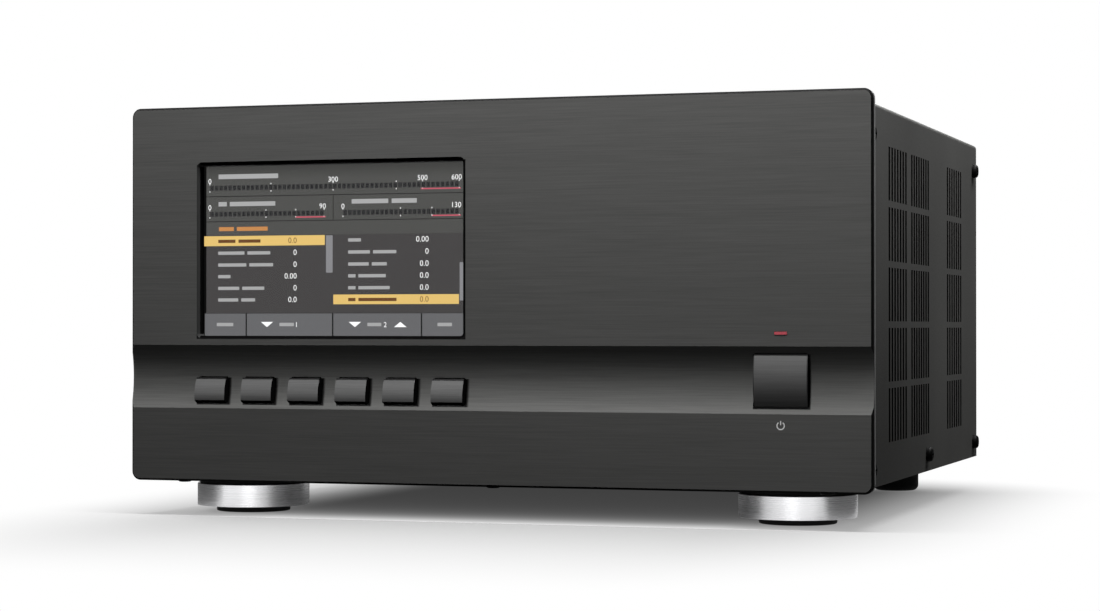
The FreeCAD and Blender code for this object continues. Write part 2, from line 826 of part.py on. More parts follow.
def make_rear_panel():
    """Rear sheet with the cut-outs of all its connectors."""
    end = sheet_end(rear_sheet_front, rear_sheet_front - flange_depth, rear_sheet_front)
    y = rear_sheet_front
    holes = side_holes(m3_radius + thread_clearance, tray_half, high_only)
    holes.append(centred(inlet_x, y - 1, rear_face + 1, inlet_z,
                         inlet_body_width + 2 * slip, inlet_body_height + 2 * slip))
    holes.append(centred(rocker_x, y - 1, rear_face + 1, rocker_z,
                         rocker_frame_width - 2 * rocker_frame_lip + 2 * seat_gap,
                         rocker_frame_height - 2 * rocker_frame_lip + 2 * seat_gap))
    for x in fuse_x:
        holes.append(rod(x, y, fuse_z, fuse_body_radius + seat_gap, sheet, along_y))
    for x in socket_x:
        holes.append(rod(x, y, socket_z, socket_radius + slip, sheet, along_y))
        for dx, dz in socket_corners():
            holes.append(rod(x + dx, y, socket_z + dz, m3_radius + thread_clearance, sheet, along_y))
    for x, z in inlet_screw_places():
        holes.append(rod(x, y, z, m3_radius + thread_clearance, sheet, along_y))
    holes.append(rod(ground_x, y, ground_z, ground_radius + seat_gap, sheet, along_y))
    for x, width in zip(data_x, data_shell_width):
        holes.append(centred(x, y - 1, rear_face + 1, data_z, width + 2 * slip, data_shell_height))
        for side in (-1, 1):
            holes.append(rod(x + side * data_screw_offset(width), y, data_z,
                             m3_radius + thread_clearance, sheet, along_y))
    for x in phono_x:
        holes.append(rod(x, y, phono_z, phono_radius + slip, sheet, along_y))
    for x, z in phono_screw_places():
        holes.append(rod(x, y, z, m3_radius + thread_clearance, sheet, along_y))
    for x, y_hole in edge_screw_places:
        holes.append(rod(x, y_hole, floor_sheet_top, m3_radius + thread_clearance, sheet, along_z))
    return end.cut(holes)


def make_top_cover():
    """Wrap-around cover with three groups of upright slots in each side."""
    front = panel_back + seam
    outer = block(-cover_outer_x, cover_outer_x, front, cover_rear, cover_bottom, cover_top)
    high = [edge for edge in edges_along(outer, along_y) if edge.CenterOfMass.z > cover_top - 1]
    outer = outer.makeFillet(cover_bend, high)
    inner = block(-cover_inner_x, cover_inner_x, front - 1, cover_rear + 1, cover_bottom - 1,
                  cover_inner_top)
    high = [edge for edge in edges_along(inner, along_y) if edge.CenterOfMass.z > cover_inner_top - 1]
    inner = inner.makeFillet(cover_bend - cover_sheet, high)
    shell = outer.cut(inner)
    slots = []
    for start, end, count in vent_groups:
        pitch = (end - start - vent_width) / (count - 1)
        for row in range(vent_rows):
            z = vent_bottom + row * vent_pitch_z
            for step in range(count):
                y = start + step * pitch
                for side in (-1, 1):
                    low, high = sorted((side * (cover_inner_x - 1), side * (cover_outer_x + 1)))
                    slots.append(block(low, high, y, y + vent_width, z, z + vent_height))
    slots += side_holes(m3_hole, cover_outer_x, case_screw_heights)
    return shell.cut(slots)


def make_cover_screws():
    screws = []
    for y in case_screw_y:
        for z in case_screw_heights(y):
            for side in (-1, 1):
                screws.append(m3_screw(vector(side * cover_outer_x, y, z), along_x * -side,
                                       case_screw_length))
    return group(screws)


def make_base_screws():
    long_places = edge_screw_places + sink_screw_places + supply_screw_places
    screws = [m3_screw(vector(x, y, cover_bottom), along_z, case_screw_length)
              for x, y in long_places]
    screws += [m3_screw(vector(x, y, cover_bottom), along_z, bracket_screw_length)
               for x, y in bracket_screw_places]
    return group(screws)


def make_panel_screws():
    return group([m3_screw(vector(x, front_sheet_back, z), -along_y, panel_screw_length)
                  for x, z in panel_screw_places])


# ---- feet --------------------------------------------------------------------------------
def make_front_foot(x, y):
    """Turned aluminium cup with a hub and a recess for its pad."""
    ring = rod(x, y, foot_bottom, foot_radius, foot_ring_height, along_z)
    ring = ring.makeChamfer(0.3, edges_on(ring, lambda point: point.z, foot_top))
    hub = rod(x, y, foot_top, foot_hub_radius, cover_bottom - foot_top, along_z)
    recess = rod(x, y, foot_bottom, pad_radius + slip, pad_recess, along_z)
    web_bottom = cover_bottom - foot_screw_web
    bore = rod(x, y, foot_bottom, pad_bore, web_bottom - foot_bottom, along_z)
    shank = rod(x, y, web_bottom, m4_hole, foot_screw_web, along_z)
    return joined([ring, hub]).cut([recess, bore, shank])


def make_front_pad(x, y):
    """Rubber ring in the foot's recess."""
    pad = rod(x, y, floor_z, pad_radius, foot_bottom + pad_recess - floor_z, along_z)
    pad = pad.makeFillet(0.6, edges_on(pad, lambda point: point.z, floor_z))
    return pad.cut(rod(x, y, floor_z, pad_bore, foot_bottom + pad_recess - floor_z, along_z))


def make_rear_foot(x, y):
    """Plain rubber foot with a rounded lower edge."""
    foot = rod(x, y, floor_z, rear_foot_radius, cover_bottom - floor_z, along_z)
    foot = foot.makeFillet(rear_foot_round, edges_on(foot, lambda point: point.z, floor_z))
    web_bottom = cover_bottom - foot_screw_web
    bore = rod(x, y, floor_z, pad_bore, web_bottom - floor_z, along_z)
    return foot.cut([bore, rod(x, y, web_bottom, m4_hole, foot_screw_web, along_z)])


def make_foot_screws():
    """Screws up through the feet, with their nuts on the floor sheet."""
    pieces = []
    nut_height = 3.0
    for x, y in front_foot_places + rear_foot_places:
        seat = cover_bottom - foot_screw_web
        length = floor_sheet_top - seat + nut_height + 1.0
        pieces.append(m4_screw(vector(x, y, seat), along_z, length))
        points = [vector(x + 4.0 * math.cos(math.radians(60 * step)),
                         y + 4.0 * math.sin(math.radians(60 * step)), floor_sheet_top)
                  for step in range(7)]
        nut = Part.Face(Part.makePolygon(points)).extrude(vector(0, 0, nut_height))
        pieces.append(nut.cut(rod(x, y, floor_sheet_top, m4_radius + thread_clearance, nut_height,
                                  along_z)))
    return group(pieces)


# ---- cooling and power stage -------------------------------------------------------------
amplifier_corner_places = [(x, y) for x in (sink_left + 8.0, sink_right - 8.0)
                           for y in (sink_front + 8.0, sink_back - 8.0)]
transistor_places = [(sink_middle_x, sink_middle_y + side * transistor_spacing / 2)
                     for side in (-1, 1)]


def make_heat_sink():
    """Extrusion with fins along X; its outer fins are thick feet on the floor sheet."""
    base = block(sink_left, sink_right, sink_front, sink_back, sink_base_bottom, sink_top)
    parts = [base]
    for low in (sink_front, sink_back - outer_fin):
        parts.append(block(sink_left, sink_right, low, low + outer_fin, floor_sheet_top,
                           sink_base_bottom))
    room = sink_width - 2 * outer_fin
    count = int(room // fin_pitch)
    for step in range(1, count):
        y = sink_front + outer_fin + step * room / count
        parts.append(block(sink_left, sink_right, y - fin_thickness / 2, y + fin_thickness / 2,
                           floor_sheet_top + 6.0, sink_base_bottom))
    sink = joined(parts)
    holes = []
    for x, y in sink_screw_places:
        holes.append(rod(x, y, floor_sheet_top, m3_radius + thread_clearance, case_screw_length,
                         along_z))
    for x, y in amplifier_corner_places:
        holes.append(rod(x, y, sink_top - 6.0, m3_radius + thread_clearance, 6.0, along_z))
    return sink.cut(holes)


def make_heat_spreader():
    """Copper block between the transistors and the heat sink."""
    spreader = block(sink_middle_x - spreader_length / 2, sink_middle_x + spreader_length / 2,
                     sink_middle_y - spreader_width / 2, sink_middle_y + spreader_width / 2,
                     sink_top, spreader_top)
    holes = []
    for x, y in transistor_places:
        for side in (-1, 1):
            holes.append(rod(x + side * transistor_screw_offset, y,
                             spreader_top - spreader_screw_depth,
                             m3_radius + thread_clearance, spreader_screw_depth, along_z))
    return spreader.cut(holes)


def make_pa_board():
    """Power amplifier board, cut out round its transistors, with capacitor rows."""
    plate = block(sink_left + board_edge, sink_right - board_edge, sink_front + board_edge,
                  sink_back - board_edge, amplifier_board_bottom, amplifier_board_top)
    parts = [plate]
    for side in (-1, 1):
        y = sink_middle_y + side * (sink_width / 2 - capacitor_inset)
        chip_y = y - side * 3.5 * capacitor_radius
        for step in range(-2, 3):
            x = sink_middle_x + capacitor_pitch * step
            parts.append(rod(x, y, amplifier_board_top, capacitor_radius, capacitor_height, along_z))
            parts.append(block(x - 3.0, x + 3.0, chip_y - 2.5, chip_y + 2.5,
                               amplifier_board_top, amplifier_board_top + 3.0))
    whole = joined(parts)
    holes = [rod(x, y, amplifier_board_bottom, m3_hole, board, along_z)
             for x, y in amplifier_corner_places]
    for x, y in transistor_places:
        half_width = transistor_width / 2 + 0.6
        half_depth = transistor_depth / 2 + 0.6
        holes.append(block(x - half_width, x + half_width, y - half_depth, y + half_depth,
                           amplifier_board_bottom - 1, amplifier_board_top + 4))
    return whole.cut(holes)


def make_rf_transistors():
    """Flanged transistors on the spreader, each with two screws."""
    pieces = []
    for x, y in transistor_places:
        flange = block(x - transistor_width / 2, x + transistor_width / 2,
                       y - transistor_depth / 2, y + transistor_depth / 2,
                       spreader_top, spreader_top + transistor_flange)
        lid_x, lid_y, lid_z = transistor_lid
        lid = block(x - lid_x / 2, x + lid_x / 2, y - lid_y / 2, y + lid_y / 2,
                    spreader_top + transistor_flange, spreader_top + transistor_flange + lid_z)
        package = joined([flange, lid])
        holes = []
        for side in (-1, 1):
            place = x + side * transistor_screw_offset
            holes.append(rod(place, y, spreader_top, m3_hole, transistor_flange, along_z))
            seat = vector(place, y, spreader_top + transistor_flange)
            pieces.append(m3_screw(seat, -along_z, spreader_screw_depth + transistor_flange - slip))
        pieces.append(package.cut(holes))
    return group(pieces)


def ferrite_block(x, y, length, width, height):
    """Binocular core along Y with a winding tube through each bore."""
    bottom = amplifier_board_top
    core = block(x - width / 2, x + width / 2, y - length / 2, y + length / 2, bottom, bottom + height)
    bore = height * 0.24
    tube = bore - seat_gap
    holes = []
    tubes = []
    for side in (-1, 1):
        bore_x = x + side * width / 4
        z = bottom + height / 2
        holes.append(rod(bore_x, y - length / 2, z, bore, length, along_y))
        outer = rod(bore_x, y - length / 2 - 4.0, z, tube, length + 8.0, along_y)
        tubes.append(outer.cut(rod(bore_x, y - length / 2 - 4.0, z, tube - 0.8, length + 8.0, along_y)))
    return [core.cut(holes)] + tubes


def make_rf_transformers():
    return group(ferrite_block(sink_middle_x + core_offset, sink_middle_y, *output_core)
                 + ferrite_block(sink_middle_x - core_offset, sink_middle_y, *input_core))


fan_corner = fan_size / 2 - fan_hole_inset
fan_corners = [(dy * fan_corner, dz * fan_corner) for dy in (-1, 1) for dz in (-1, 1)]


def make_fan_bracket():
    """Upright plate that carries both fans, with a foot on the floor sheet."""
    low = fan_y[0] - fan_size / 2
    high = fan_y[1] + fan_size / 2
    plate = block(bracket_left, bracket_right, low, high, floor_sheet_top, fan_bottom + fan_size + 4.0)
    foot = block(bracket_right, bracket_right + 18.0, low, high, floor_sheet_top,
                 floor_sheet_top + sheet)
    bracket = joined([plate, foot])
    holes = []
    for y in fan_y:
        holes.append(rod(bracket_left - 1, y, fan_z, fan_opening, sheet + 2, along_x))
        for dy, dz in fan_corners:
            holes.append(rod(bracket_left, y + dy, fan_z + dz, m4_radius + thread_clearance, sheet,
                             along_x))
    for x, y in bracket_screw_places:
        holes.append(rod(x, y, floor_sheet_top, m3_radius + thread_clearance, sheet, along_z))
    return bracket.cut(holes)


def make_fan_frame(y):
    """Square fan housing with four struts that carry the motor boss and bearing."""
    body = block(bracket_right, fan_right, y - fan_size / 2, y + fan_size / 2,
                 fan_bottom, fan_bottom + fan_size)
    body = rounded(body, 3.0, along_x)
    body = body.cut(rod(bracket_right - 1, y, fan_z, fan_opening, fan_depth + 2, along_x))
    boss = rod(bracket_right, y, fan_z, fan_hub_radius, fan_post_length, along_x)
    struts = []
    for angle in (45.0, 135.0, 225.0, 315.0):
        strut = block(bracket_right, bracket_right + fan_post_length, y + fan_hub_radius - 2.0,
                      y + fan_opening + 1.0, fan_z - 2.0, fan_z + 2.0)
        strut.rotate(vector(bracket_right, y, fan_z), along_x, angle)
        struts.append(strut)
    body = joined([body, boss] + struts)
    holes = [rod(bracket_right - 1, y, fan_z, fan_shaft_radius + shaft_gap, fan_post_length + 2,
                 along_x)]
    for dy, dz in fan_corners:
        holes.append(rod(bracket_right - 1, y + dy, fan_z + dz, m4_hole, fan_depth + 2, along_x))
    return body.cut(holes)


def make_fan_rotor(y):
    """Hub, shaft and pitched blades."""
    hub_left = bracket_right + fan_post_length + slip
    hub_right = fan_right - 1.0
    hub = rod(hub_left, y, fan_z, fan_hub_radius, hub_right - hub_left, along_x)
    hub = hub.makeFillet(2.0, edges_on(hub, lambda point: point.x, hub_right))
    shaft = rod(bracket_right, y, fan_z, fan_shaft_radius, fan_depth / 2, along_x)
    parts = [hub, shaft]
    tip = fan_opening - fan_tip_gap
    middle_x = (hub_left + hub_right) / 2
    for step in range(fan_blades):
        blade = block(middle_x - 8.5, middle_x + 8.5, y - 0.8, y + 0.8, fan_z + fan_hub_radius - 3.0,
                      fan_z + tip)
        blade.rotate(vector(middle_x, y, fan_z), along_z, fan_blade_pitch)
        blade.rotate(vector(middle_x, y, fan_z), along_x, 360.0 / fan_blades * step)
        parts.append(blade)
    rotor = joined(parts)
    envelope = rod(hub_left, y, fan_z, tip, hub_right - hub_left, along_x)
    return rotor.common(joined([envelope, shaft]))


def make_fan_screws():
    pieces = []
    for y in fan_y:
        for dy, dz in fan_corners:
            pieces.append(m4_screw(vector(fan_right, y + dy, fan_z + dz), -along_x, fan_depth + sheet))
    return group(pieces)


# ---- supply and output filter ------------------------------------------------------------
filter_left = supply_left
filter_right = supply_right
filter_front = supply_front + 4.0
filter_back = supply_back - 4.0
filter_corner_places = [(x, y) for x in (filter_left + 6.0, filter_right - 6.0)
                        for y in (filter_front + 6.0, filter_back - 6.0)]
coil_places = [(supply_middle_x + side * coil_offset, filter_front + coil_pitch * (step + 1))
               for side in (-1, 1) for step in range(coil_count)]
supply_standoffs = [(supply_middle_x + sx * (supply_width / 2 - 10.0),
                     (supply_front + supply_back) / 2 + sy * (supply_length / 2 - 27.0))
                    for sx in (-1, 1) for sy in (-1, 1)]


def make_psu_case():
    """Closed sheet box round the power supply, with air slots in both ends and in the lid."""
    outer = block(supply_left, supply_right, supply_front, supply_back, floor_sheet_top, supply_top)
    inner = block(supply_left + supply_sheet, supply_right - supply_sheet,
                  supply_front + supply_sheet, supply_back - supply_sheet,
                  floor_sheet_top + supply_sheet, supply_top - supply_sheet)
    box = outer.cut(inner)
    holes = []
    slot = supply_slot_pitch / 2
    for step in range(supply_slot_count):
        x = supply_middle_x + (step - (supply_slot_count - 1) / 2) * supply_slot_pitch
        holes.append(block(x - slot / 2, x + slot / 2, supply_front - 1, supply_back + 1,
                           floor_sheet_top + 11.0, supply_top - 8.0))
        holes.append(block(x - slot / 2, x + slot / 2, supply_front + 40.0, supply_back - 40.0,
                           supply_top - supply_sheet - 1, supply_top + 1))
    for x, y in supply_screw_places:
        holes.append(rod(x, y, floor_sheet_top, m3_radius + thread_clearance, supply_sheet, along_z))
    for x, y in filter_corner_places:
        holes.append(rod(x, y, supply_top - supply_sheet, m3_radius + thread_clearance, supply_sheet,
                         along_z))
    posts = [rod(x, y, floor_sheet_top + supply_sheet, standoff_radius,
                 supply_board_lift - supply_sheet, along_z) for x, y in supply_standoffs]
    return joined([box.cut(holes)] + posts)


def make_psu_board():
    """Supply board with its transformer, capacitors and heat-sink bar."""
    bottom = floor_sheet_top + supply_board_lift
    top = bottom + board
    room = supply_top - supply_sheet - top
    x = supply_middle_x
    y = (supply_front + supply_back) / 2
    half_width = supply_width / 2 - supply_sheet - 2.0
    half_length = supply_length / 2 - board_edge
    parts = [block(x - half_width, x + half_width, y - half_length, y + half_length, bottom, top)]
    for dx, dy, width, length, share in supply_blocks:
        parts.append(block(x + dx - width / 2, x + dx + width / 2, y + dy - length / 2,
                           y + dy + length / 2, top, top + share * room))
    for step in range(supply_can_count):
        place = y - half_length + supply_can_pitch * (step + 0.8)
        for dx, radius, share in supply_cans:
            parts.append(rod(x + dx, place, top, radius, share * room, along_z))
    return joined(parts)


def make_filter_board():
    """Low-pass filter board with its input and output terminals and capacitors."""
    plate = block(filter_left, filter_right, filter_front, filter_back, filter_bottom, filter_top)
    parts = [plate]
    for step in range(6):
        y = filter_front + 18.0 + 21.0 * step
        parts.append(block(supply_middle_x - 1.5, supply_middle_x + 1.5, y, y + 8.0,
                           filter_top, filter_top + 7.0))
    whole = joined(parts)
    holes = [rod(x, y, filter_bottom, m3_hole, board, along_z) for x, y in filter_corner_places]
    return whole.cut(holes)


def make_filter_coils():
    """Toroidal coils lying on the filter board."""
    coils = []
    for x, y in coil_places:
        centre = vector(x, y, filter_top + coil_section + seat_gap)
        coils.append(Part.makeTorus(coil_radius, coil_section, centre, along_z))
    return group(coils)


def make_filter_relays():
    relays = []
    for side in (-1, 1):
        x = supply_middle_x + side * (coil_offset + coil_radius + coil_section + 1.0 + relay_width / 2)
        for step in range(relay_count):
            y = filter_front + relay_pitch * (step + 0.6)
            relays.append(block(x - relay_width / 2, x + relay_width / 2, y, y + relay_length,
                                filter_top, filter_top + relay_height))
    return group(relays)


# ---- stand-offs and board screws ---------------------------------------------------------
def make_board_standoffs():
    pieces = []
    for x, z in front_standoff_places:
        pieces.append(standoff(x, front_sheet_back, z, front_board_gap, along_y))
    for x, z in control_places:
        pieces.append(standoff(x, frame_back, z, control_gap, along_y))
    for x, y in amplifier_corner_places:
        pieces.append(standoff(x, y, sink_top, amplifier_board_gap, along_z))
    for x, y in filter_corner_places:
        pieces.append(standoff(x, y, supply_top, filter_gap, along_z))
    return group(pieces)


def make_board_screws():
    pieces = []
    for x, z in front_standoff_places:
        pieces.append(m3_screw(vector(x, front_board_back, z), -along_y, case_screw_length))
    for x, z in frame_screw_places:
        pieces.append(m3_screw(vector(x, frame_back, z), -along_y, frame_back - panel_back - slip))
    for x, z in control_places:
        pieces.append(m3_screw(vector(x, control_back, z), -along_y, case_screw_length))
    for x, y in amplifier_corner_places:
        pieces.append(m3_screw(vector(x, y, amplifier_board_top), -along_z, case_screw_length))
    for x, y in filter_corner_places:
        pieces.append(m3_screw(vector(x, y, filter_top), -along_z, case_screw_length))
    return group(pieces)


# ---- rear connectors ---------------------------------------------------------------------
def socket_corners():
    half = socket_hole_pitch / 2
    return [(dx * half, dz * half) for dx in (-1, 1) for dz in (-1, 1)]


def inlet_screw_places():
    return [(inlet_x + side * inlet_screw_offset, inlet_z) for side in (-1, 1)]


def data_screw_offset(width):
    return width / 2 + 4.2


def phono_screw_places():
    half = (phono_x[0] + phono_x[1]) / 2
    other = (phono_x[2] + phono_x[3]) / 2
    return [(half, phono_z), (other, phono_z)]


def make_mains_inlet():
    """Three-pole inlet: flange, body, recess with chamfered corners, blades and solder tags."""
    y = rear_face
    flange = centred(inlet_x, y, y + inlet_flange_thickness, inlet_z, inlet_flange_width,
                     inlet_flange_height)
    flange = rounded(flange, 5.0, along_y)
    body = centred(inlet_x, y - inlet_body_depth, y, inlet_z, inlet_body_width, inlet_body_height)
    mouth = y + inlet_flange_thickness
    recess = centred(inlet_x, mouth - inlet_recess_depth, mouth + 1, inlet_z,
                     inlet_recess_width, inlet_recess_height)
    low = [edge for edge in edges_along(recess, along_y) if edge.CenterOfMass.z < inlet_z]
    recess = recess.makeChamfer(4.0, low)
    shell = joined([flange, body]).cut(recess)
    floor = mouth - inlet_recess_depth
    parts = [shell]
    for dx, dz in inlet_blades:
        parts.append(centred(inlet_x + dx, floor, floor + inlet_blade_length, inlet_z + dz, 2.0, 4.0))
        parts.append(centred(inlet_x + dx, y - inlet_body_depth - tag_length, y - inlet_body_depth,
                             inlet_z + dz, tag_thickness, 4.8))
    whole = joined(parts)
    return whole.cut([rod(x, y, z, m3_hole, inlet_flange_thickness, along_y)
                      for x, z in inlet_screw_places()])


def rocker_pivot_y():
    return rear_face + rocker_frame_lip - rocker_pivot_depth


def make_mains_switch():
    """Rocker switch housing with a bezel, a cavity for the rocker and two pivot holes."""
    y = rear_face
    bezel = centred(rocker_x, y, y + rocker_frame_lip, rocker_z, rocker_frame_width,
                    rocker_frame_height)
    bezel = rounded(bezel, 1.0, along_y)
    body = centred(rocker_x, y - rocker_body_depth, y, rocker_z,
                   rocker_frame_width - 2 * rocker_frame_lip,
                   rocker_frame_height - 2 * rocker_frame_lip)
    cavity = centred(rocker_x, y - 8.0, y + rocker_frame_lip + 1, rocker_z,
                     rocker_width + 2 * slip, rocker_height + 2 * slip)
    pivot = rod(rocker_x - rocker_width / 2 - 1.2, rocker_pivot_y(), rocker_z,
                rocker_pivot_radius + shaft_gap, rocker_width + 2.4, along_x)
    tags = [centred(rocker_x, y - rocker_body_depth - tag_length, y - rocker_body_depth,
                    rocker_z + dz, 6.3, tag_thickness) for dz in (-7.0, 7.0)]
    return joined([bezel, body] + tags).cut([cavity, pivot])


def make_mains_rocker():
    """Hollow-faced rocker on a cross pin, resting at one end of its throw."""
    pivot_y = rocker_pivot_y()
    face_y = rear_face + rocker_frame_lip + 1.6
    low_y = pivot_y - 3.4
    half = rocker_height / 2 - 0.6
    body = profile_prism([(low_y, rocker_z - 5.0), (face_y - 2.2, rocker_z - half),
                          (face_y, rocker_z - half), (face_y, rocker_z + half),
                          (face_y - 2.2, rocker_z + half), (low_y, rocker_z + 5.0)],
                         rocker_x - rocker_width / 2 + slip, rocker_x + rocker_width / 2 - slip)
    sag = rocker_radius - math.sqrt(rocker_radius ** 2 - half ** 2)
    dish = rod(rocker_x - rocker_width, face_y + rocker_radius - sag, rocker_z, rocker_radius,
               2 * rocker_width, along_x)
    body = body.cut(dish)
    pin_half = rocker_width / 2 + slip + 0.4
    pin = rod(rocker_x - pin_half, pivot_y, rocker_z, rocker_pivot_radius, 2 * pin_half, along_x)
    rocker = joined([body, pin])
    rocker.rotate(vector(rocker_x, pivot_y, rocker_z), along_x, rocker_tilt)
    return rocker


def make_fuse_holders():
    pieces = []
    for x in fuse_x:
        body = rod(x, rear_face - fuse_body_depth, fuse_z, fuse_body_radius, fuse_body_depth, along_y)
        collar = rod(x, rear_face, fuse_z, fuse_cap_radius, 1.5, along_y)
        cap = rod(x, rear_face + 1.5, fuse_z, fuse_cap_radius - 1.2, fuse_cap_length - 1.5, along_y)
        cap = cap.makeFillet(0.8, edges_on(cap, lambda point: point.y, rear_face + fuse_cap_length))
        slot = centred(x, rear_face + fuse_cap_length - 1.2, rear_face + fuse_cap_length + 1, fuse_z,
                       1.4, 2 * fuse_cap_radius)
        nut = rod(x, rear_sheet_front - 2.5, fuse_z, fuse_body_radius + 2.0, 2.5, along_y)
        pieces.append(joined([body, collar, cap, nut]).cut(slot))
    return group(pieces)


def make_rf_sockets():
    """Coaxial sockets: flange, barrel, insulator and centre contact."""
    pieces = []
    for x in socket_x:
        y = rear_face
        flange = centred(x, y, y + socket_flange_thickness, socket_z, socket_flange, socket_flange)
        flange = rounded(flange, 1.5, along_y)
        barrel = rod(x, y, socket_z, socket_radius, socket_length, along_y)
        rear = rod(x, y - socket_back_length, socket_z, socket_radius, socket_back_length, along_y)
        bore = rod(x, y - socket_back_length - 1, socket_z, socket_bore,
                   socket_length + socket_back_length + 2, along_y)
        holes = [bore]
        for dx, dz in socket_corners():
            holes.append(rod(x + dx, y, socket_z + dz, m3_hole, socket_flange_thickness, along_y))
        pieces.append(joined([flange, barrel, rear]).cut(holes))
        insulator = rod(x, y - socket_back_length, socket_z, socket_bore - shaft_gap,
                        socket_back_length + socket_length - 3.0, along_y)
        well = rod(x, y, socket_z, socket_bore - 2.2, socket_length, along_y)
        core = rod(x, y - socket_back_length - 5.0, socket_z, 2.4, socket_length + socket_back_length,
                   along_y)
        contact_bore = rod(x, y, socket_z, 1.95, socket_length, along_y)
        pieces.append(joined([insulator.cut(well), core]).cut(contact_bore))
    return group(pieces)


def make_ground_post():
    """Earth stud with a washer, a thumb nut and a nut inside the panel."""
    y = rear_face
    stud = rod(ground_x, y - 10.0, ground_z, ground_radius, 10.0 + ground_length, along_y)
    washer = rod(ground_x, y, ground_z, ground_nut_radius, 1.2, along_y)
    inner = rod(ground_x, rear_sheet_front - 4.0, ground_z, ground_nut_radius - 1.5, 4.0, along_y)
    nut = rod(ground_x, y + 1.2 + seat_gap, ground_z, ground_nut_radius, ground_nut_length, along_y)
    nut = nut.cut(rod(ground_x, y, ground_z, ground_radius + shaft_gap, ground_length, along_y))
    grooves = []
    for step in range(18):
        angle = math.radians(20.0 * step)
        grooves.append(rod(ground_x + ground_nut_radius * math.cos(angle), y,
                           ground_z + ground_nut_radius * math.sin(angle), 0.5, ground_length, along_y))
    return group([joined([stud, washer, inner]), nut.cut(grooves)])


def make_data_sockets():
    """Multi-pin sockets with their shells and jack screws."""
    pieces = []
    for x, width in zip(data_x, data_shell_width):
        y = rear_face
        offset = data_screw_offset(width)
        flange = centred(x, y, y + 0.8, data_z, 2 * offset + 8.0, 12.5)
        flange = rounded(flange, 2.0, along_y)
        shell = rounded(centred(x, y, y + 6.0, data_z, width, 8.4), 2.0, along_y)
        inside = rounded(centred(x, y + 2.0, y + 7.0, data_z, width - 1.0, 7.4), 1.6, along_y)
        body = centred(x, y - 8.0, y, data_z, width, data_shell_height - 2 * slip)
        jacks = []
        for side in (-1, 1):
            jacks.append(rod(x + side * offset, y - 4.0, data_z, m3_radius, 4.0, along_y))
            jacks.append(rod(x + side * offset, y + 0.8, data_z, 2.6, 5.0, along_y))
        whole = joined([flange, shell, body] + jacks).cut([inside])
        pins = [rod(x + (step - 3) * (width / 9), y + 1.5, data_z + dz, 0.5, 4.0, along_y)
                for step in range(7) for dz in (-1.4, 1.4)]
        pieces.append(joined([whole] + pins))
    return group(pieces)


def make_phono_sockets():
    """Row of phono sockets on one insulating strip."""
    y = rear_face
    seat = y + phono_strip
    mouth = seat + phono_collar + phono_length
    left = phono_x[0] - phono_pitch / 2
    right = phono_x[-1] + phono_pitch / 2
    strip = rounded(block(left, right, y, seat, phono_z - 7.0, phono_z + 7.0), 2.0, along_y)
    holes = [rod(x, y, z, m3_hole, phono_strip, along_y) for x, z in phono_screw_places()]
    holes += [rod(x, y, phono_z, phono_radius + slip, phono_strip, along_y) for x in phono_x]
    pieces = [strip.cut(holes)]
    for x in phono_x:
        shell = rod(x, y - 6.0, phono_z, phono_radius, 6.0 + mouth - y, along_y)
        collar = rod(x, seat, phono_z, phono_radius + 1.0, phono_collar, along_y)
        pieces.append(joined([shell, collar]).cut(
            rod(x, mouth - phono_bore_depth, phono_z, phono_bore, phono_bore_depth, along_y)))
    return group(pieces)


def make_socket_screws():
    pieces = []
    for x in socket_x:
        for dx, dz in socket_corners():
            seat = vector(x + dx, rear_face + socket_flange_thickness, socket_z + dz)
            pieces.append(m3_screw(seat, -along_y, case_screw_length))
    for x, z in inlet_screw_places():
        seat = vector(x, rear_face + inlet_flange_thickness, z)
        pieces.append(m3_screw(seat, -along_y, case_screw_length + 1.0))
    for x, z in phono_screw_places():
        pieces.append(m3_screw(vector(x, rear_face + phono_strip, z), -along_y, case_screw_length))
    return group(pieces)


def make_inner_leads():
    """Coaxial leads to both sockets and the supply pair to the amplifier board."""
    back = rear_face - socket_back_length - 5.0
    leads = []
    output = [vector(socket_x[0], back, socket_z), vector(socket_x[0], back - 14.0, socket_z),
              vector(supply_middle_x, filter_back - 6.0, filter_top + 16.0),
              vector(supply_middle_x, filter_back - 6.0, filter_top)]
    leads.append(pipe(output, [5.0, 5.0], lead_radius))
    drive = [vector(socket_x[1], back, socket_z), vector(socket_x[1], back - 16.0, socket_z),
             vector(socket_x[1], sink_back - 18.0, amplifier_board_top + 8.0),
             vector(socket_x[1], sink_back - 18.0, amplifier_board_top)]
    leads.append(pipe(drive, [8.0, 4.0], lead_radius))
    for step in (0, 1):
        y = supply_back - 30.0 - 8.0 * step
        feed = [vector(supply_right, y, supply_top - 12.0), vector(supply_right + 5.0, y, supply_top - 12.0),
                vector(supply_right + 5.0, y, amplifier_board_top + 8.0),
                vector(sink_left + 16.0, y, amplifier_board_top + 8.0),
                vector(sink_left + 16.0, y, amplifier_board_top)]
        leads.append(pipe(feed, [2.0, 4.0, 4.0], supply_lead_radius))
    return group(leads)


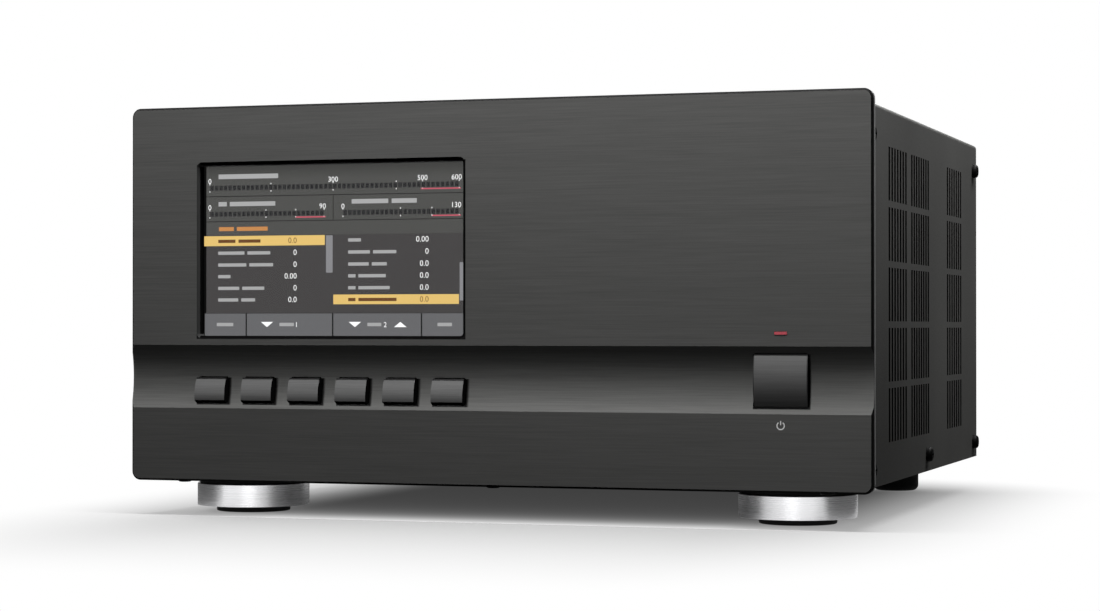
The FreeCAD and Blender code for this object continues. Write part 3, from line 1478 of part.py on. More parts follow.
# ---- all nodes ---------------------------------------------------------------------------
def make_all():
    """Every node of the amplifier by name."""
    pieces = {"front_panel": make_front_panel(), "display_window": make_display_window(),
              "display_module": make_display_module(), "display_frame": make_display_frame(),
              "control_board": make_control_board(), "front_board": make_front_board(),
              "board_standoffs": make_board_standoffs(), "board_screws": make_board_screws()}
    for number, x in enumerate(key_x, 1):
        pieces["key_cap_%d" % number] = make_key_cap(x)
    pieces.update({
        "key_switches": make_key_switches(), "power_button": make_power_button(),
        "power_plunger": make_power_plunger(), "power_switch": make_power_switch(),
        "power_light": make_power_light(), "chassis_base": make_chassis_base(),
        "chassis_front": make_chassis_front(), "rear_panel": make_rear_panel(),
        "top_cover": make_top_cover(), "cover_screws": make_cover_screws(),
        "base_screws": make_base_screws(), "panel_screws": make_panel_screws()})
    for side, (x, y) in zip(("left", "right"), front_foot_places):
        pieces["front_foot_" + side] = make_front_foot(x, y)
        pieces["front_pad_" + side] = make_front_pad(x, y)
    for side, (x, y) in zip(("left", "right"), rear_foot_places):
        pieces["rear_foot_" + side] = make_rear_foot(x, y)
    pieces.update({
        "foot_screws": make_foot_screws(), "heat_sink": make_heat_sink(),
        "heat_spreader": make_heat_spreader(), "pa_board": make_pa_board(),
        "rf_transistors": make_rf_transistors(), "rf_transformers": make_rf_transformers(),
        "fan_bracket": make_fan_bracket(), "fan_screws": make_fan_screws()})
    for place, y in zip(("front", "rear"), fan_y):
        pieces["fan_frame_" + place] = make_fan_frame(y)
        pieces["fan_rotor_" + place] = make_fan_rotor(y)
    pieces.update({
        "psu_case": make_psu_case(), "psu_board": make_psu_board(),
        "filter_board": make_filter_board(), "filter_coils": make_filter_coils(),
        "filter_relays": make_filter_relays(), "mains_inlet": make_mains_inlet(),
        "mains_switch": make_mains_switch(), "mains_rocker": make_mains_rocker(),
        "fuse_holders": make_fuse_holders(), "rf_sockets": make_rf_sockets(),
        "ground_post": make_ground_post(), "data_sockets": make_data_sockets(),
        "phono_sockets": make_phono_sockets(), "socket_screws": make_socket_screws(),
        "inner_leads": make_inner_leads(), "ribbon_cable": make_ribbon_cable()})
    return pieces


pieces = make_all()
whole_box = group(list(pieces.values())).BoundBox
to_origin = vector(-whole_box.Center.x, -whole_box.Center.y, -whole_box.ZMin)
os.makedirs("parts", exist_ok=True)
for name, shape in pieces.items():
    shape.translate(to_origin)
    shape.exportStep("parts/%s.step" % name)
    print(name, len(shape.Solids), "solids, valid", shape.isValid())
print("nodes", len(pieces))
print("shift", to_origin.x, to_origin.y, to_origin.z)
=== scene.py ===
import json
import math

import bmesh
import bpy
from bpy.props import FloatProperty, FloatVectorProperty, PointerProperty
from mathutils import Matrix, Vector


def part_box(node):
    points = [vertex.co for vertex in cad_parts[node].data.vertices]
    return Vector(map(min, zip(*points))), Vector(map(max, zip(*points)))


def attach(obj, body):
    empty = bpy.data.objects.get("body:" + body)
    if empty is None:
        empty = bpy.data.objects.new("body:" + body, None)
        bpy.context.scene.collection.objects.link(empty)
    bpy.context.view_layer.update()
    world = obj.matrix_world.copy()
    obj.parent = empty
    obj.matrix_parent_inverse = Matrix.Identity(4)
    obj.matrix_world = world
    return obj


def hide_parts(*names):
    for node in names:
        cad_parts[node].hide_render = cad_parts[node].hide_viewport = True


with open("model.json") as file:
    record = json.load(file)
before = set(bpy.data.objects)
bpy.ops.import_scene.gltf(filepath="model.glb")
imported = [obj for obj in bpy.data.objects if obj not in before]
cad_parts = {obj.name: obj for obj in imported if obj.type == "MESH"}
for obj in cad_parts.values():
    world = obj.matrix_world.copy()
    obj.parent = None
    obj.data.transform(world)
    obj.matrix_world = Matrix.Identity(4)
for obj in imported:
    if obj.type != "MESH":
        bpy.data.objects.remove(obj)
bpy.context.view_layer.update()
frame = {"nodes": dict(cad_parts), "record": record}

bl_info = {
    "name": "Shortwave Amplifier",
    "version": (1, 0, 0),
    "blender": (4, 5, 0),
    "location": "3D Viewport > Sidebar > Amplifier",
    "description": "Finishes, display picture and studio for a desk-top shortwave amplifier",
    "category": "Object",
}

MM = 0.001

nodes = frame["nodes"]
panel_low, panel_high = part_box("front_panel")
window_low, window_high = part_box("display_window")
panel_middle_x = (panel_low.x + panel_high.x) / 2
small_keys = [f"key_cap_{number}" for number in range(1, 7)]


def at(x, y, z):
    """A point right of the panel's middle, behind its face and above its lower edge, given in mm."""
    return Vector((panel_middle_x + x * MM, panel_low.y + y * MM, panel_low.z + z * MM))


def from_panel(point):
    """The same three distances in mm, of a point of the frame."""
    return Vector(((point.x - panel_middle_x) / MM, (point.y - panel_low.y) / MM,
                   (point.z - panel_low.z) / MM))


def box_mm(node):
    """Low and high corners of a node's box, as those distances in mm."""
    low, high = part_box(node)
    return from_panel(low), from_panel(high)


def middle_mm(node):
    low, high = box_mm(node)
    return (low + high) / 2


def socket_axes():
    """Places of the two coaxial sockets' axes, from the ends of their node."""
    low, high = box_mm("rf_sockets")
    half = (high.z - low.z) / 2
    return [(low.x + half, low.z + half), (high.x - half, low.z + half)]


def tone(red, green=None, blue=None):
    """Linear colour of an 8-bit screen value."""
    values = (red, red if green is None else green, red if blue is None else blue)
    return tuple((v / 255 / 12.92) if v <= 10 else ((v / 255 + 0.055) / 1.055) ** 2.4
                 for v in values)


rear_y = box_mm("rear_panel")[1].y

# ---- measures in mm of the panel ---------------------------------------------------------

COVE_LOW, COVE_HIGH = 28.4, 52.7
OPENING_BEVEL = 1.0
PICTURE_LEFT, PICTURE_RIGHT = -117.5, -9.0
PICTURE_BOTTOM, PICTURE_TOP = 56.3, 122.5
KEY_FLANGE, BUTTON_FLANGE = 1.5, 3.0      # hidden flanges round the caps' faces
KEY_CLEARANCE = 0.4                       # gap between a key and its hole
BOARD = 1.6                               # thickness of a circuit board
NEAR = 0.05                               # slack when a face is told by its place
WELD = 1e-7                               # in metres: vertices nearer than this are merged

# ---- settings ----------------------------------------------------------------------------

def colour_setting(name, description, default):
    return FloatVectorProperty(name=name, description=description, default=default, size=3,
                               min=0.0, max=1.0, subtype="COLOR")


class AmplifierFinish(bpy.types.PropertyGroup):
    """Colours and grain of the case."""

    panel_colour: colour_setting("Panel", "Anodised front panel", tone(82, 82, 81))
    key_colour: colour_setting("Keys", "Keys and power button", tone(84, 84, 84))
    cover_colour: colour_setting("Cover", "Powder-coated cover and rear panel", tone(48, 48, 47))
    foot_colour: colour_setting("Feet", "Turned aluminium", tone(248, 248, 250))
    lamp_colour: colour_setting("Power light", "Red indicator", tone(174, 54, 68))
    brush_pitch: FloatProperty(name="Brush pitch", description="Distance between brushed lines",
                               default=0.42 * MM, min=0.0, unit="LENGTH")
    powder_pitch: FloatProperty(name="Powder pitch", description="Size of the powder coat's bumps",
                                default=0.45 * MM, min=0.0, unit="LENGTH")


class AmplifierDisplay(bpy.types.PropertyGroup):
    """Colours of the picture on the display."""

    header_colour: colour_setting("Header", "Area behind the scales", tone(82, 82, 80))
    list_colour: colour_setting("Lists", "Area behind the two lists", tone(72, 70, 70))
    scale_colour: colour_setting("Scale", "Unlit segments", tone(45, 45, 46))
    mark_colour: colour_setting("Marks", "Numerals, ticks and arrows", tone(250, 250, 250))
    label_colour: colour_setting("Labels", "Plain bars that stand for words", tone(176, 176, 176))
    title_colour: colour_setting("Title", "Bar above the lists", tone(205, 142, 84))
    highlight_colour: colour_setting("Highlight", "Chosen rows", tone(238, 201, 120))
    ink_colour: colour_setting("Ink", "Marks on the chosen rows", tone(112, 74, 42))
    limit_colour: colour_setting("Limit", "Red end of each scale", tone(206, 92, 108))
    key_colour: colour_setting("Soft keys", "Row of touch keys", tone(108, 108, 110))
    slider_colour: colour_setting("Sliders", "Scroll bars", tone(142, 142, 145))


def power_setting(name, description, default):
    return FloatProperty(name=name, description=description, default=default, min=0.0, unit="POWER")


class AmplifierStudio(bpy.types.PropertyGroup):
    """Floor, lamps and camera."""

    floor_colour: colour_setting("Floor", "Pale floor", tone(128, 128, 128))
    key_power: power_setting("Key lamp", "Softbox over the front edge", 6.6)
    side_power: power_setting("Side lamp", "Softbox over the right edge", 3.4)
    top_power: power_setting("Top lamp", "Large softbox overhead", 16.0)
    fill_power: power_setting("Fill lamps", "Softboxes behind and on the left", 24.0)
    foot_power: power_setting("Gloss lamp", "Low softbox that only gloss sees", 0.5)
    lens: FloatProperty(name="Lens", description="Focal length in mm on a 36 mm sensor",
                        default=84.25, min=1.0)


# ---- shader building ---------------------------------------------------------------------

class Wiring:
    """Places and joins the nodes of one material or group."""

    def __init__(self, tree):
        self.tree = tree

    def give(self, socket, value):
        """Joins a socket to another node's value, or sets a plain value on it."""
        if isinstance(value, bpy.types.NodeSocket):
            self.tree.links.new(value, socket)
        elif socket.type == "RGBA" and len(value) == 3:
            socket.default_value = (*value, 1.0)
        else:
            socket.default_value = value

    def add(self, kind, inputs=None, **settings):
        node = self.tree.nodes.new(kind)
        for name, value in settings.items():
            setattr(node, name, value)
        for name, value in (inputs or {}).items():
            self.give(node.inputs[name], value)
        return node

    def math(self, operation, first, second=0.0, **settings):
        return self.add("ShaderNodeMath", {0: first, 1: second}, operation=operation, **settings).outputs[0]

    def plus(self, first, second, **settings):
        return self.math("ADD", first, second, **settings)

    def minus(self, first, second, **settings):
        return self.math("SUBTRACT", first, second, **settings)

    def times(self, *factors):
        product = factors[0]
        for factor in factors[1:]:
            product = self.math("MULTIPLY", product, factor)
        return product

    def between(self, value, low, high):
        """1 where the value lies between low and high, else 0."""
        return self.times(self.math("GREATER_THAN", value, low), self.math("LESS_THAN", value, high))

    def length(self, first, second):
        return self.math("SQRT", self.plus(self.times(first, first), self.times(second, second)))

    def vector(self, operation, first, second):
        name = "Scale" if operation == "SCALE" else 1
        return self.add("ShaderNodeVectorMath", {0: first, name: second}, operation=operation).outputs[0]

    def spread(self, value, low, high, new_low=0.0, new_high=1.0, smooth=False):
        """Value mapped from low..high to new_low..new_high, and held at both ends."""
        inputs = {"Value": value, "From Min": low, "From Max": high, "To Min": new_low, "To Max": new_high}
        kind = "SMOOTHSTEP" if smooth else "LINEAR"
        return self.add("ShaderNodeMapRange", inputs, interpolation_type=kind).outputs["Result"]

    def blend(self, factor, first, second):
        return self.add("ShaderNodeMix", {0: factor, 6: first, 7: second}, data_type="RGBA").outputs[2]

    def noise(self, dimensions="3D", **inputs):
        return self.add("ShaderNodeTexNoise", inputs, noise_dimensions=dimensions).outputs["Fac"]

    def ramp(self, value, stops):
        """A grey level that runs through (position, level) stops."""
        node = self.add("ShaderNodeValToRGB", {"Fac": value})
        elements = node.color_ramp.elements
        while len(elements) < len(stops):
            elements.new(1.0)
        for element, (position, level) in zip(elements, stops):
            element.position = position
            element.color = (level, level, level, 1.0)
        return node.outputs["Color"]

    def place(self):
        return self.add("ShaderNodeTexCoord").outputs["Object"]

    def parts(self, vector):
        return self.add("ShaderNodeSeparateXYZ", {"Vector": vector}).outputs

    def place_mm(self):
        """Distances right of the panel's middle, behind its face and above its lower edge, in mm."""
        offset = self.vector("SUBTRACT", self.place(), (panel_middle_x, panel_low.y, panel_low.z))
        return self.parts(self.vector("SCALE", offset, 1 / MM))


def new_group(name, inputs, outputs):
    """An empty shader node group with named sockets: (name, type, default) and (name, type)."""
    group = bpy.data.node_groups.new(name, "ShaderNodeTree")
    for label, kind, default in inputs:
        group.interface.new_socket(label, in_out="INPUT", socket_type=kind).default_value = default
    for label, kind in outputs:
        group.interface.new_socket(label, in_out="OUTPUT", socket_type=kind)
    wiring = Wiring(group)
    return group, wiring, wiring.add("NodeGroupInput").outputs, wiring.add("NodeGroupOutput").inputs


def brushed_grain_group():
    """Fine lines that run along one direction, with long soft streaks in them."""
    group, wiring, given, out = new_group(
        "Brushed Grain",
        [("Pitch", "NodeSocketFloat", 0.0004), ("Stretch", "NodeSocketFloat", 90.0),
         ("Along", "NodeSocketVector", (1.0, 0.0, 0.0))],
        [("Line", "NodeSocketFloat"), ("Streak", "NodeSocketFloat")])
    scaled = wiring.vector("MULTIPLY", wiring.place(), wiring.math("DIVIDE", 1.0, given["Pitch"]))
    along = wiring.vector("MULTIPLY", scaled, given["Along"])
    shrink = wiring.minus(1.0, wiring.math("DIVIDE", 1.0, given["Stretch"]))
    lines = wiring.vector("SUBTRACT", scaled, wiring.vector("SCALE", along, shrink))
    wiring.give(out["Line"], wiring.noise(Vector=lines, Scale=1.0, Detail=3.0, Roughness=0.65))
    wiring.give(out["Streak"], wiring.noise(Vector=lines, Scale=0.13, Detail=2.0, Roughness=0.5))
    return group


def powder_group():
    """Low round bumps of a matt coat or a moulded skin, with a slow change of shade."""
    group, wiring, given, out = new_group(
        "Powder Skin", [("Pitch", "NodeSocketFloat", 0.0005)],
        [("Bump", "NodeSocketFloat"), ("Shade", "NodeSocketFloat")])
    place = wiring.place()
    scale = wiring.math("DIVIDE", 1.0, given["Pitch"])
    bumps = wiring.add("ShaderNodeTexVoronoi", {"Vector": place, "Scale": scale, "Smoothness": 0.7},
                       feature="SMOOTH_F1")
    fine = wiring.noise(Vector=place, Scale=scale, Detail=2.0)
    wiring.give(out["Bump"], wiring.plus(bumps.outputs["Distance"], wiring.times(fine, 0.5)))
    wiring.give(out["Shade"], wiring.noise(Vector=place, Scale=14.0, Detail=3.0))
    return group


def turned_group():
    """Rings left by a lathe around a vertical axis: by radius on flat faces, by height on walls."""
    group, wiring, given, out = new_group(
        "Turned Rings",
        [("Axis Point", "NodeSocketVector", (0.0, 0.0, 0.0)), ("Pitch", "NodeSocketFloat", 0.0003)],
        [("Ring", "NodeSocketFloat"), ("Tint", "NodeSocketFloat")])
    parts = wiring.parts(wiring.vector("SUBTRACT", wiring.place(), given["Axis Point"]))
    run = wiring.plus(wiring.length(parts["X"], parts["Y"]), parts["Z"])
    run = wiring.math("DIVIDE", run, given["Pitch"])
    wiring.give(out["Ring"], wiring.noise("1D", W=run, Scale=1.0, Detail=2.0))
    wiring.give(out["Tint"], wiring.noise("1D", W=run, Scale=0.07, Detail=1.0))
    return group


SCREEN_FALL = 0.08       # loss of brightness from the upper to the lower edge
TOP_SHADOW_BAND = 6.0           # height of the painted shadow band at the picture's upper edge, in mm


def screen_group():
    """A lit colour that falls a little towards the lower edge, with a band of painted shadow at the upper
    one.
    """
    group, wiring, given, out = new_group(
        "Screen Light",
        [("Colour", "NodeSocketColor", (0.5, 0.5, 0.5, 1.0)), ("Top Fall", "NodeSocketFloat", 0.0)],
        [("Colour", "NodeSocketColor")])
    height = wiring.parts(wiring.place())["Z"]
    shade = wiring.spread(height, window_low.z, window_high.z, 1.0 - SCREEN_FALL, 1.0)
    near_top = wiring.spread(height, at(0, 0, PICTURE_TOP - TOP_SHADOW_BAND).z, at(0, 0, PICTURE_TOP).z)
    shade = wiring.minus(shade, wiring.times(near_top, given["Top Fall"]))
    wiring.give(out["Colour"], wiring.vector("SCALE", given["Colour"], shade))
    return group


shared = {}


def effect(wiring, maker, **values):
    """A shared group placed in a material; it is built the first time that it is used."""
    if maker not in shared:
        shared[maker] = maker()
    inputs = {name.replace("_", " "): value for name, value in values.items()}
    return wiring.add("ShaderNodeGroup", inputs, node_tree=shared[maker]).outputs


def new_material(name, **plain):
    """A material, its wiring and its Principled inputs, some of which get plain values."""
    material = bpy.data.materials.new(name)
    material.use_nodes = True
    wiring = Wiring(material.node_tree)
    surface = material.node_tree.nodes["Principled BSDF"].inputs
    for label, value in plain.items():
        wiring.give(surface[label.replace("_", " ")], value)
    return material, wiring, surface


def give_colour(wiring, surface, level, colour, contrast, shade):
    """A base colour that varies with level; shade, if given, is a factor by place of painted shade or painted
    highlight.
    """
    mixed = wiring.blend(level, [c * (1 - contrast) for c in colour],
                         [min(1.0, c * (1 + contrast)) for c in colour])
    if shade:
        mixed = wiring.vector("MULTIPLY", mixed, shade(wiring))
    wiring.give(surface["Base Color"], mixed)


def relief(wiring, surface, height, strength, distance):
    bump = wiring.add("ShaderNodeBump", {"Height": height, "Strength": strength, "Distance": distance})
    wiring.give(surface["Normal"], bump.outputs["Normal"])


def brushed_metal(name, colour, contrast=0.13, pitch=0.35 * MM, along=(1.0, 0.0, 0.0),
                  metallic=0.0, specular=0.06, rough=(0.42, 0.55), shade=None):
    """Brushed metal: colour and gloss change from line to line."""
    material, wiring, surface = new_material(name, Metallic=metallic, Specular_IOR_Level=specular)
    grain = effect(wiring, brushed_grain_group, Pitch=pitch, Stretch=60.0, Along=along)
    mixed = wiring.plus(wiring.times(grain["Line"], 0.8), wiring.times(grain["Streak"], 0.2))
    give_colour(wiring, surface, wiring.spread(mixed, 0.32, 0.68), colour, contrast, shade)
    wiring.give(surface["Roughness"], wiring.spread(grain["Line"], 0.3, 0.7, *rough))
    relief(wiring, surface, grain["Line"], 0.15, 0.02 * MM)
    return material


def skinned(name, colour, pitch, rough, specular=0.3, metallic=0.0, contrast=0.1, depth=0.3,
            shade=None):
    """Painted, moulded or plated skin with fine bumps, pitch in mm, and a slow change of shade."""
    material, wiring, surface = new_material(name, Metallic=metallic, Specular_IOR_Level=specular)
    skin = effect(wiring, powder_group, Pitch=pitch * MM)
    give_colour(wiring, surface, wiring.spread(skin["Shade"], 0.3, 0.7), colour, contrast, shade)
    wiring.give(surface["Roughness"], wiring.spread(skin["Bump"], 0.2, 1.1, *rough))
    relief(wiring, surface, skin["Bump"], depth, 0.04 * MM)
    return material


def turned_aluminium(node, name, colour):
    """Bright turned aluminium with lathe rings around the axis of one foot."""
    material, wiring, surface = new_material(name, Metallic=1.0)
    low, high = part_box(node)
    rings = effect(wiring, turned_group, Axis_Point=(low + high) / 2, Pitch=0.16 * MM)
    tint = wiring.spread(rings["Tint"], 0.3, 0.7)
    wiring.give(surface["Base Color"], wiring.blend(tint, [c * 0.97 for c in colour], colour))
    wiring.give(surface["Roughness"], wiring.spread(rings["Ring"], 0.3, 0.7, 0.2, 0.34))
    relief(wiring, surface, rings["Ring"], 0.35, 0.01 * MM)
    return material


def lit_screen(name, colour, strength=1.0, top_fall=0.0):
    """A lit area of the display; top_fall paints a shadow band at its upper edge."""
    material, wiring, surface = new_material(name, Base_Color=(0.0, 0.0, 0.0), Roughness=0.5,
                                             Specular_IOR_Level=0.0, Emission_Strength=strength)
    light = effect(wiring, screen_group, Colour=colour, Top_Fall=top_fall)
    wiring.give(surface["Emission Color"], light["Colour"])
    return material


def circuit_board(name, colour):
    """Solder mask over copper: tracks show as paler lines under the mask."""
    material, wiring, surface = new_material(name, Specular_IOR_Level=0.45)
    tracks = wiring.add("ShaderNodeTexBrick",
                        {"Vector": wiring.place(), "Scale": 55.0, "Mortar Size": 0.035, "Mortar Smooth": 0.1,
                         "Color1": colour, "Color2": [c * 0.85 for c in colour],
                         "Mortar": [min(1.0, c * 1.7) for c in colour]}).outputs
    wiring.give(surface["Base Color"], tracks["Color"])
    wiring.give(surface["Roughness"], wiring.spread(tracks["Fac"], 0.0, 1.0, 0.32, 0.45))
    relief(wiring, surface, tracks["Fac"], 0.4, 0.03 * MM)
    return material


def clear_glass(name):
    """The display's cover glass."""
    material, wiring, surface = new_material(name, Base_Color=(0.96, 0.97, 0.98), IOR=1.2,
                                             Transmission_Weight=1.0)
    skin = effect(wiring, powder_group, Pitch=6.0 * MM)
    wiring.give(surface["Roughness"], wiring.spread(skin["Shade"], 0.2, 0.8, 0.0, 0.02))
    return material


def red_lens(name, colour):
    """The power light's diffusing lens, lit from behind."""
    material, wiring, surface = new_material(name, Roughness=0.35, Emission_Strength=0.12)
    skin = effect(wiring, powder_group, Pitch=0.8 * MM)
    hue = wiring.blend(wiring.spread(skin["Bump"], 0.2, 1.1), [c * 0.8 for c in colour], colour)
    wiring.give(surface["Base Color"], hue)
    wiring.give(surface["Emission Color"], hue)
    return material


# ---- painted shade, shadow and highlight by place ----------------------------------------
# A ramp is: from, to (in mm), value at from, value at to

COVE_SHADE_RAMP = (47.5, 43.0, 0.9, 1.26)              # painted shade and light: factor by height in the cove
STRIP_SHADE_ACROSS = (120.0, -60.0, 0.0, 0.1)          # painted shade below the cove, from right to left
STRIP_SHADE_DOWN = (COVE_LOW, 0.0, 0.01, 0.05)         # and from its upper to its lower edge
KEY_SHADOW_REACH, BUTTON_SHADOW_REACH, OPENING_SHADOW_REACH = 1.2, 0.6, 0.45   # width of the painted shadow right of a hole
LOWER_SHADOW_REACH = 0.4                                  # and below it
# how much the painted shadow of a hole darkens the panel
HOLE_SHADOW_LOSS = 0.96
EDGE_HIGHLIGHT, EDGE_HIGHLIGHT_GAIN = 1.4, 30.0            # painted highlight on the rear part of the panel's edge
# Painted shade of a face from its lower to its upper edge: (share of its height, level)
KEY_SHADE_LEVELS = ((0.0, 0.76), (0.15, 0.98), (0.4, 0.98), (0.6, 0.865), (0.75, 0.775), (0.9, 0.62),
              (0.925, 0.59), (0.935, 0.0))
BUTTON_SHADE_LEVELS = ((0.0, 0.0), (0.022, 0.0), (0.03, 1.0), (0.972, 1.0), (0.977, 0.0))
KEY_SKIRT = 1.15                                 # lower part of a key's face, kept at one level
BUTTON_SIDE_SHADE = (0.45, 0.2)                        # start and end of the painted shade at the button's sides
BUTTON_SIDE_SHADE_LEVEL = 0.3
COVER_SHADES = (
    # painted shade: loss on the cover's sides, its ramp by height and its ramp by depth
    (0.33, (60.0, 140.0, 0.0, 1.0), (35.0, 90.0, 0.0, 1.0)),
    (0.4, (20.0, 90.0, 1.0, 0.0), (40.0, 170.0, 1.0, 0.0)),
)


def face_box(node):
    """Left, right, lower and upper ends of a key's face in mm, without its hidden flange."""
    low, high = box_mm(node)
    flange = BUTTON_FLANGE if node == "power_button" else KEY_FLANGE
    return low.x + flange, high.x - flange, low.z + flange, high.z - flange


def hole_shadow(wiring, beside, height, half, low, high, reach):
    """1 where a hole's painted shadow falls, right of it and below it, fading over reach mm on the right."""
    return wiring.times(wiring.math("GREATER_THAN", beside, -half),
                        wiring.spread(beside, half + reach / 3, half + reach, 1.0, 0.0),
                        wiring.math("LESS_THAN", height, high),
                        wiring.spread(height, low - LOWER_SHADOW_REACH, low - LOWER_SHADOW_REACH / 4))


def panel_shade(wiring):
    """Painted shade at the cove's top and painted light on its lower half, painted shade on the strip below
    it, and painted shadows right of and below the holes.
    """
    place = wiring.place_mm()
    x, z = place["X"], place["Z"]
    # painted shade and light in the cove
    cove = wiring.times(wiring.between(z, COVE_LOW, COVE_HIGH),
                        wiring.minus(wiring.spread(z, *COVE_SHADE_RAMP), 1.0))
    # painted shade on the strip below the cove
    strip = wiring.plus(wiring.spread(x, *STRIP_SHADE_ACROSS), wiring.spread(z, *STRIP_SHADE_DOWN))
    strip = wiring.times(wiring.math("LESS_THAN", z, COVE_LOW), strip)
    left, right, low, high = face_box(small_keys[0])
    pitch = (face_box(small_keys[-1])[0] - left) / (len(small_keys) - 1)
    turn = wiring.plus(0.5, wiring.math("DIVIDE", wiring.minus(x, (left + right) / 2), pitch))
    beside = wiring.times(wiring.minus(wiring.math("FRACT", turn), 0.5), pitch)
    keys = hole_shadow(wiring, beside, z, (right - left) / 2 + KEY_CLEARANCE,
                    low - KEY_CLEARANCE, high, KEY_SHADOW_REACH)
    keys = wiring.times(wiring.between(turn, 0.0, float(len(small_keys))), keys)
    left, right, low, high = face_box("power_button")
    button = hole_shadow(wiring, wiring.minus(x, (left + right) / 2), z, (right - left) / 2 + KEY_CLEARANCE,
                      low - KEY_CLEARANCE, high, BUTTON_SHADOW_REACH)
    opening = hole_shadow(wiring, wiring.minus(x, (PICTURE_LEFT + PICTURE_RIGHT) / 2), z,
                       (PICTURE_RIGHT - PICTURE_LEFT) / 2 + OPENING_BEVEL,
                       PICTURE_BOTTOM - OPENING_BEVEL, PICTURE_TOP, OPENING_SHADOW_REACH)
    # painted shadows of the keys, the button and the display opening
    dark = wiring.math("MAXIMUM", wiring.math("MAXIMUM", keys, button), opening)
    return wiring.times(wiring.plus(1.0, cove), wiring.minus(1.0, strip),
                        wiring.minus(1.0, wiring.times(dark, HOLE_SHADOW_LOSS)))


def edge_highlight(wiring):
    """Painted highlight on the rear part of the panel's edge."""
    rear = box_mm("front_panel")[1].y
    painted_highlight = wiring.between(wiring.place_mm()["Y"], rear - EDGE_HIGHLIGHT, rear - 0.02)
    return wiring.plus(1.0, wiring.times(painted_highlight, EDGE_HIGHLIGHT_GAIN))


def key_shade(wiring):
    """Painted shade of a key's arched face, with a painted shadow line at its upper edge."""
    low, high = face_box(small_keys[0])[2:]
    return wiring.ramp(wiring.spread(wiring.place_mm()["Z"], low + KEY_SKIRT, high), KEY_SHADE_LEVELS)


def button_shade(wiring):
    """The power button's painted shadow outline, darker at its sides."""
    left, right, low, high = face_box("power_button")
    place = wiring.place_mm()
    beside = wiring.math("ABSOLUTE", wiring.minus(place["X"], (left + right) / 2))
    start, end = ((right - left) / 2 - inset for inset in BUTTON_SIDE_SHADE)
    sides = wiring.spread(beside, start, end, 1.0, BUTTON_SIDE_SHADE_LEVEL)
    levels = wiring.ramp(wiring.spread(place["Z"], low, high), BUTTON_SHADE_LEVELS)
    return wiring.vector("MULTIPLY", levels, sides)


def cover_shade(wiring):
    """Painted shade of the cover's sides: darker at the upper rear and at the lower front."""
    place = wiring.place_mm()
    level = 1.0
    for loss, by_height, by_depth in COVER_SHADES:
        patch = wiring.times(wiring.spread(place["Z"], *by_height),
                             wiring.spread(place["Y"], *by_depth), loss)
        level = wiring.minus(level, patch)
    return level


# ---- finishes of the solids --------------------------------------------------------------

def make_finishes(settings):
    """One material for each of the record's slots."""
    brush = settings.brush_pitch
    return {
        # The panel, the button and the cover's paint get painted shade by place.
        "anodised_black": brushed_metal("anodised_panel", settings.panel_colour, pitch=brush,
                                        shade=panel_shade),
        # the button's material carries a painted shadow outline
        "key_grey": brushed_metal("anodised_button", settings.key_colour, pitch=brush, specular=0.1,
                                  rough=(0.36, 0.5), shade=button_shade),
        # the cover's paint carries painted shade on its sides
        "cover_paint": skinned("powder_coat", settings.cover_colour, settings.powder_pitch / MM,
                               (0.55, 0.7), specular=0.035, shade=cover_shade),
        "bright_aluminium": turned_aluminium("front_foot_left", "turned_foot_left", settings.foot_colour),
        "black_rubber": skinned("foot_rubber", tone(34), 0.6, (0.75, 0.9), specular=0.25),
        "black_screw": skinned("black_oxide", tone(6), 0.5, (0.4, 0.55), specular=0.02, depth=0.15),
        "zinc_sheet": skinned("zinc_plate", tone(186, 190, 194), 2.5, (0.28, 0.4), metallic=1.0,
                              contrast=0.08, depth=0.1),
        "steel_screw": skinned("plated_steel", tone(200, 201, 204), 0.6, (0.22, 0.34), metallic=1.0,
                               contrast=0.06, depth=0.1),
        "display_glass": clear_glass("cover_glass"),
        "display_body": skinned("display_bezel", tone(18), 0.8, (0.3, 0.4), depth=0.05),
        "board_green": circuit_board("solder_mask", tone(26, 92, 52)),
        "black_plastic": skinned("moulded_black", tone(38), 0.5, (0.4, 0.55), specular=0.4, depth=0.2),
        "red_plastic": red_lens("red_lens", settings.lamp_colour),
        "plain_aluminium": brushed_metal("extruded_aluminium", tone(200, 201, 203), contrast=0.06,
                                         pitch=0.5 * MM, along=(0.0, 1.0, 0.0), metallic=1.0,
                                         specular=0.5, rough=(0.3, 0.42)),
        "copper": skinned("copper_plate", tone(196, 122, 84), 1.5, (0.25, 0.38), metallic=1.0, depth=0.1),
        "nickel": skinned("nickel_plate", tone(214, 212, 205), 1.0, (0.14, 0.26), metallic=1.0,
                          contrast=0.05, depth=0.08),
        "ferrite": skinned("ferrite_core", tone(66, 66, 70), 0.5, (0.4, 0.6), specular=0.4),
        "coil": skinned("enamelled_wire", tone(184, 104, 48), 0.8, (0.22, 0.36), metallic=1.0,
                        contrast=0.12, depth=0.1),
        "relay_blue": skinned("relay_case", tone(40, 88, 150), 0.5, (0.3, 0.42), specular=0.45,
                              depth=0.12),
        "lead_sheath": skinned("lead_sheath", tone(36), 0.8, (0.4, 0.5)),
        "ribbon_grey": skinned("ribbon_sheath", tone(150, 151, 154), 1.27, (0.45, 0.55)),
    }


def finish_of(slot):
    """The material that a slot of the record has on its nodes."""
    rows = [row for row in frame["record"]["subparts"] if row["material_slot"] == slot]
    return nodes[rows[-1]["node"]].data.materials[0]


def paint_faces(node, material, test):
    """Gives a second material to the faces of a CAD node whose middle and normal pass the test.

    The middle is in mm of the panel; a normal's y is -1 on a face that looks forward.
    """
    mesh = nodes[node].data
    mesh.materials.append(material)
    index = len(mesh.materials) - 1
    found = 0
    for face in mesh.polygons:
        if test(from_panel(face.center), face.normal):
            face.material_index = index
            found += 1
    if not found:
        raise RuntimeError(f"no face of {node} takes {material.name}")


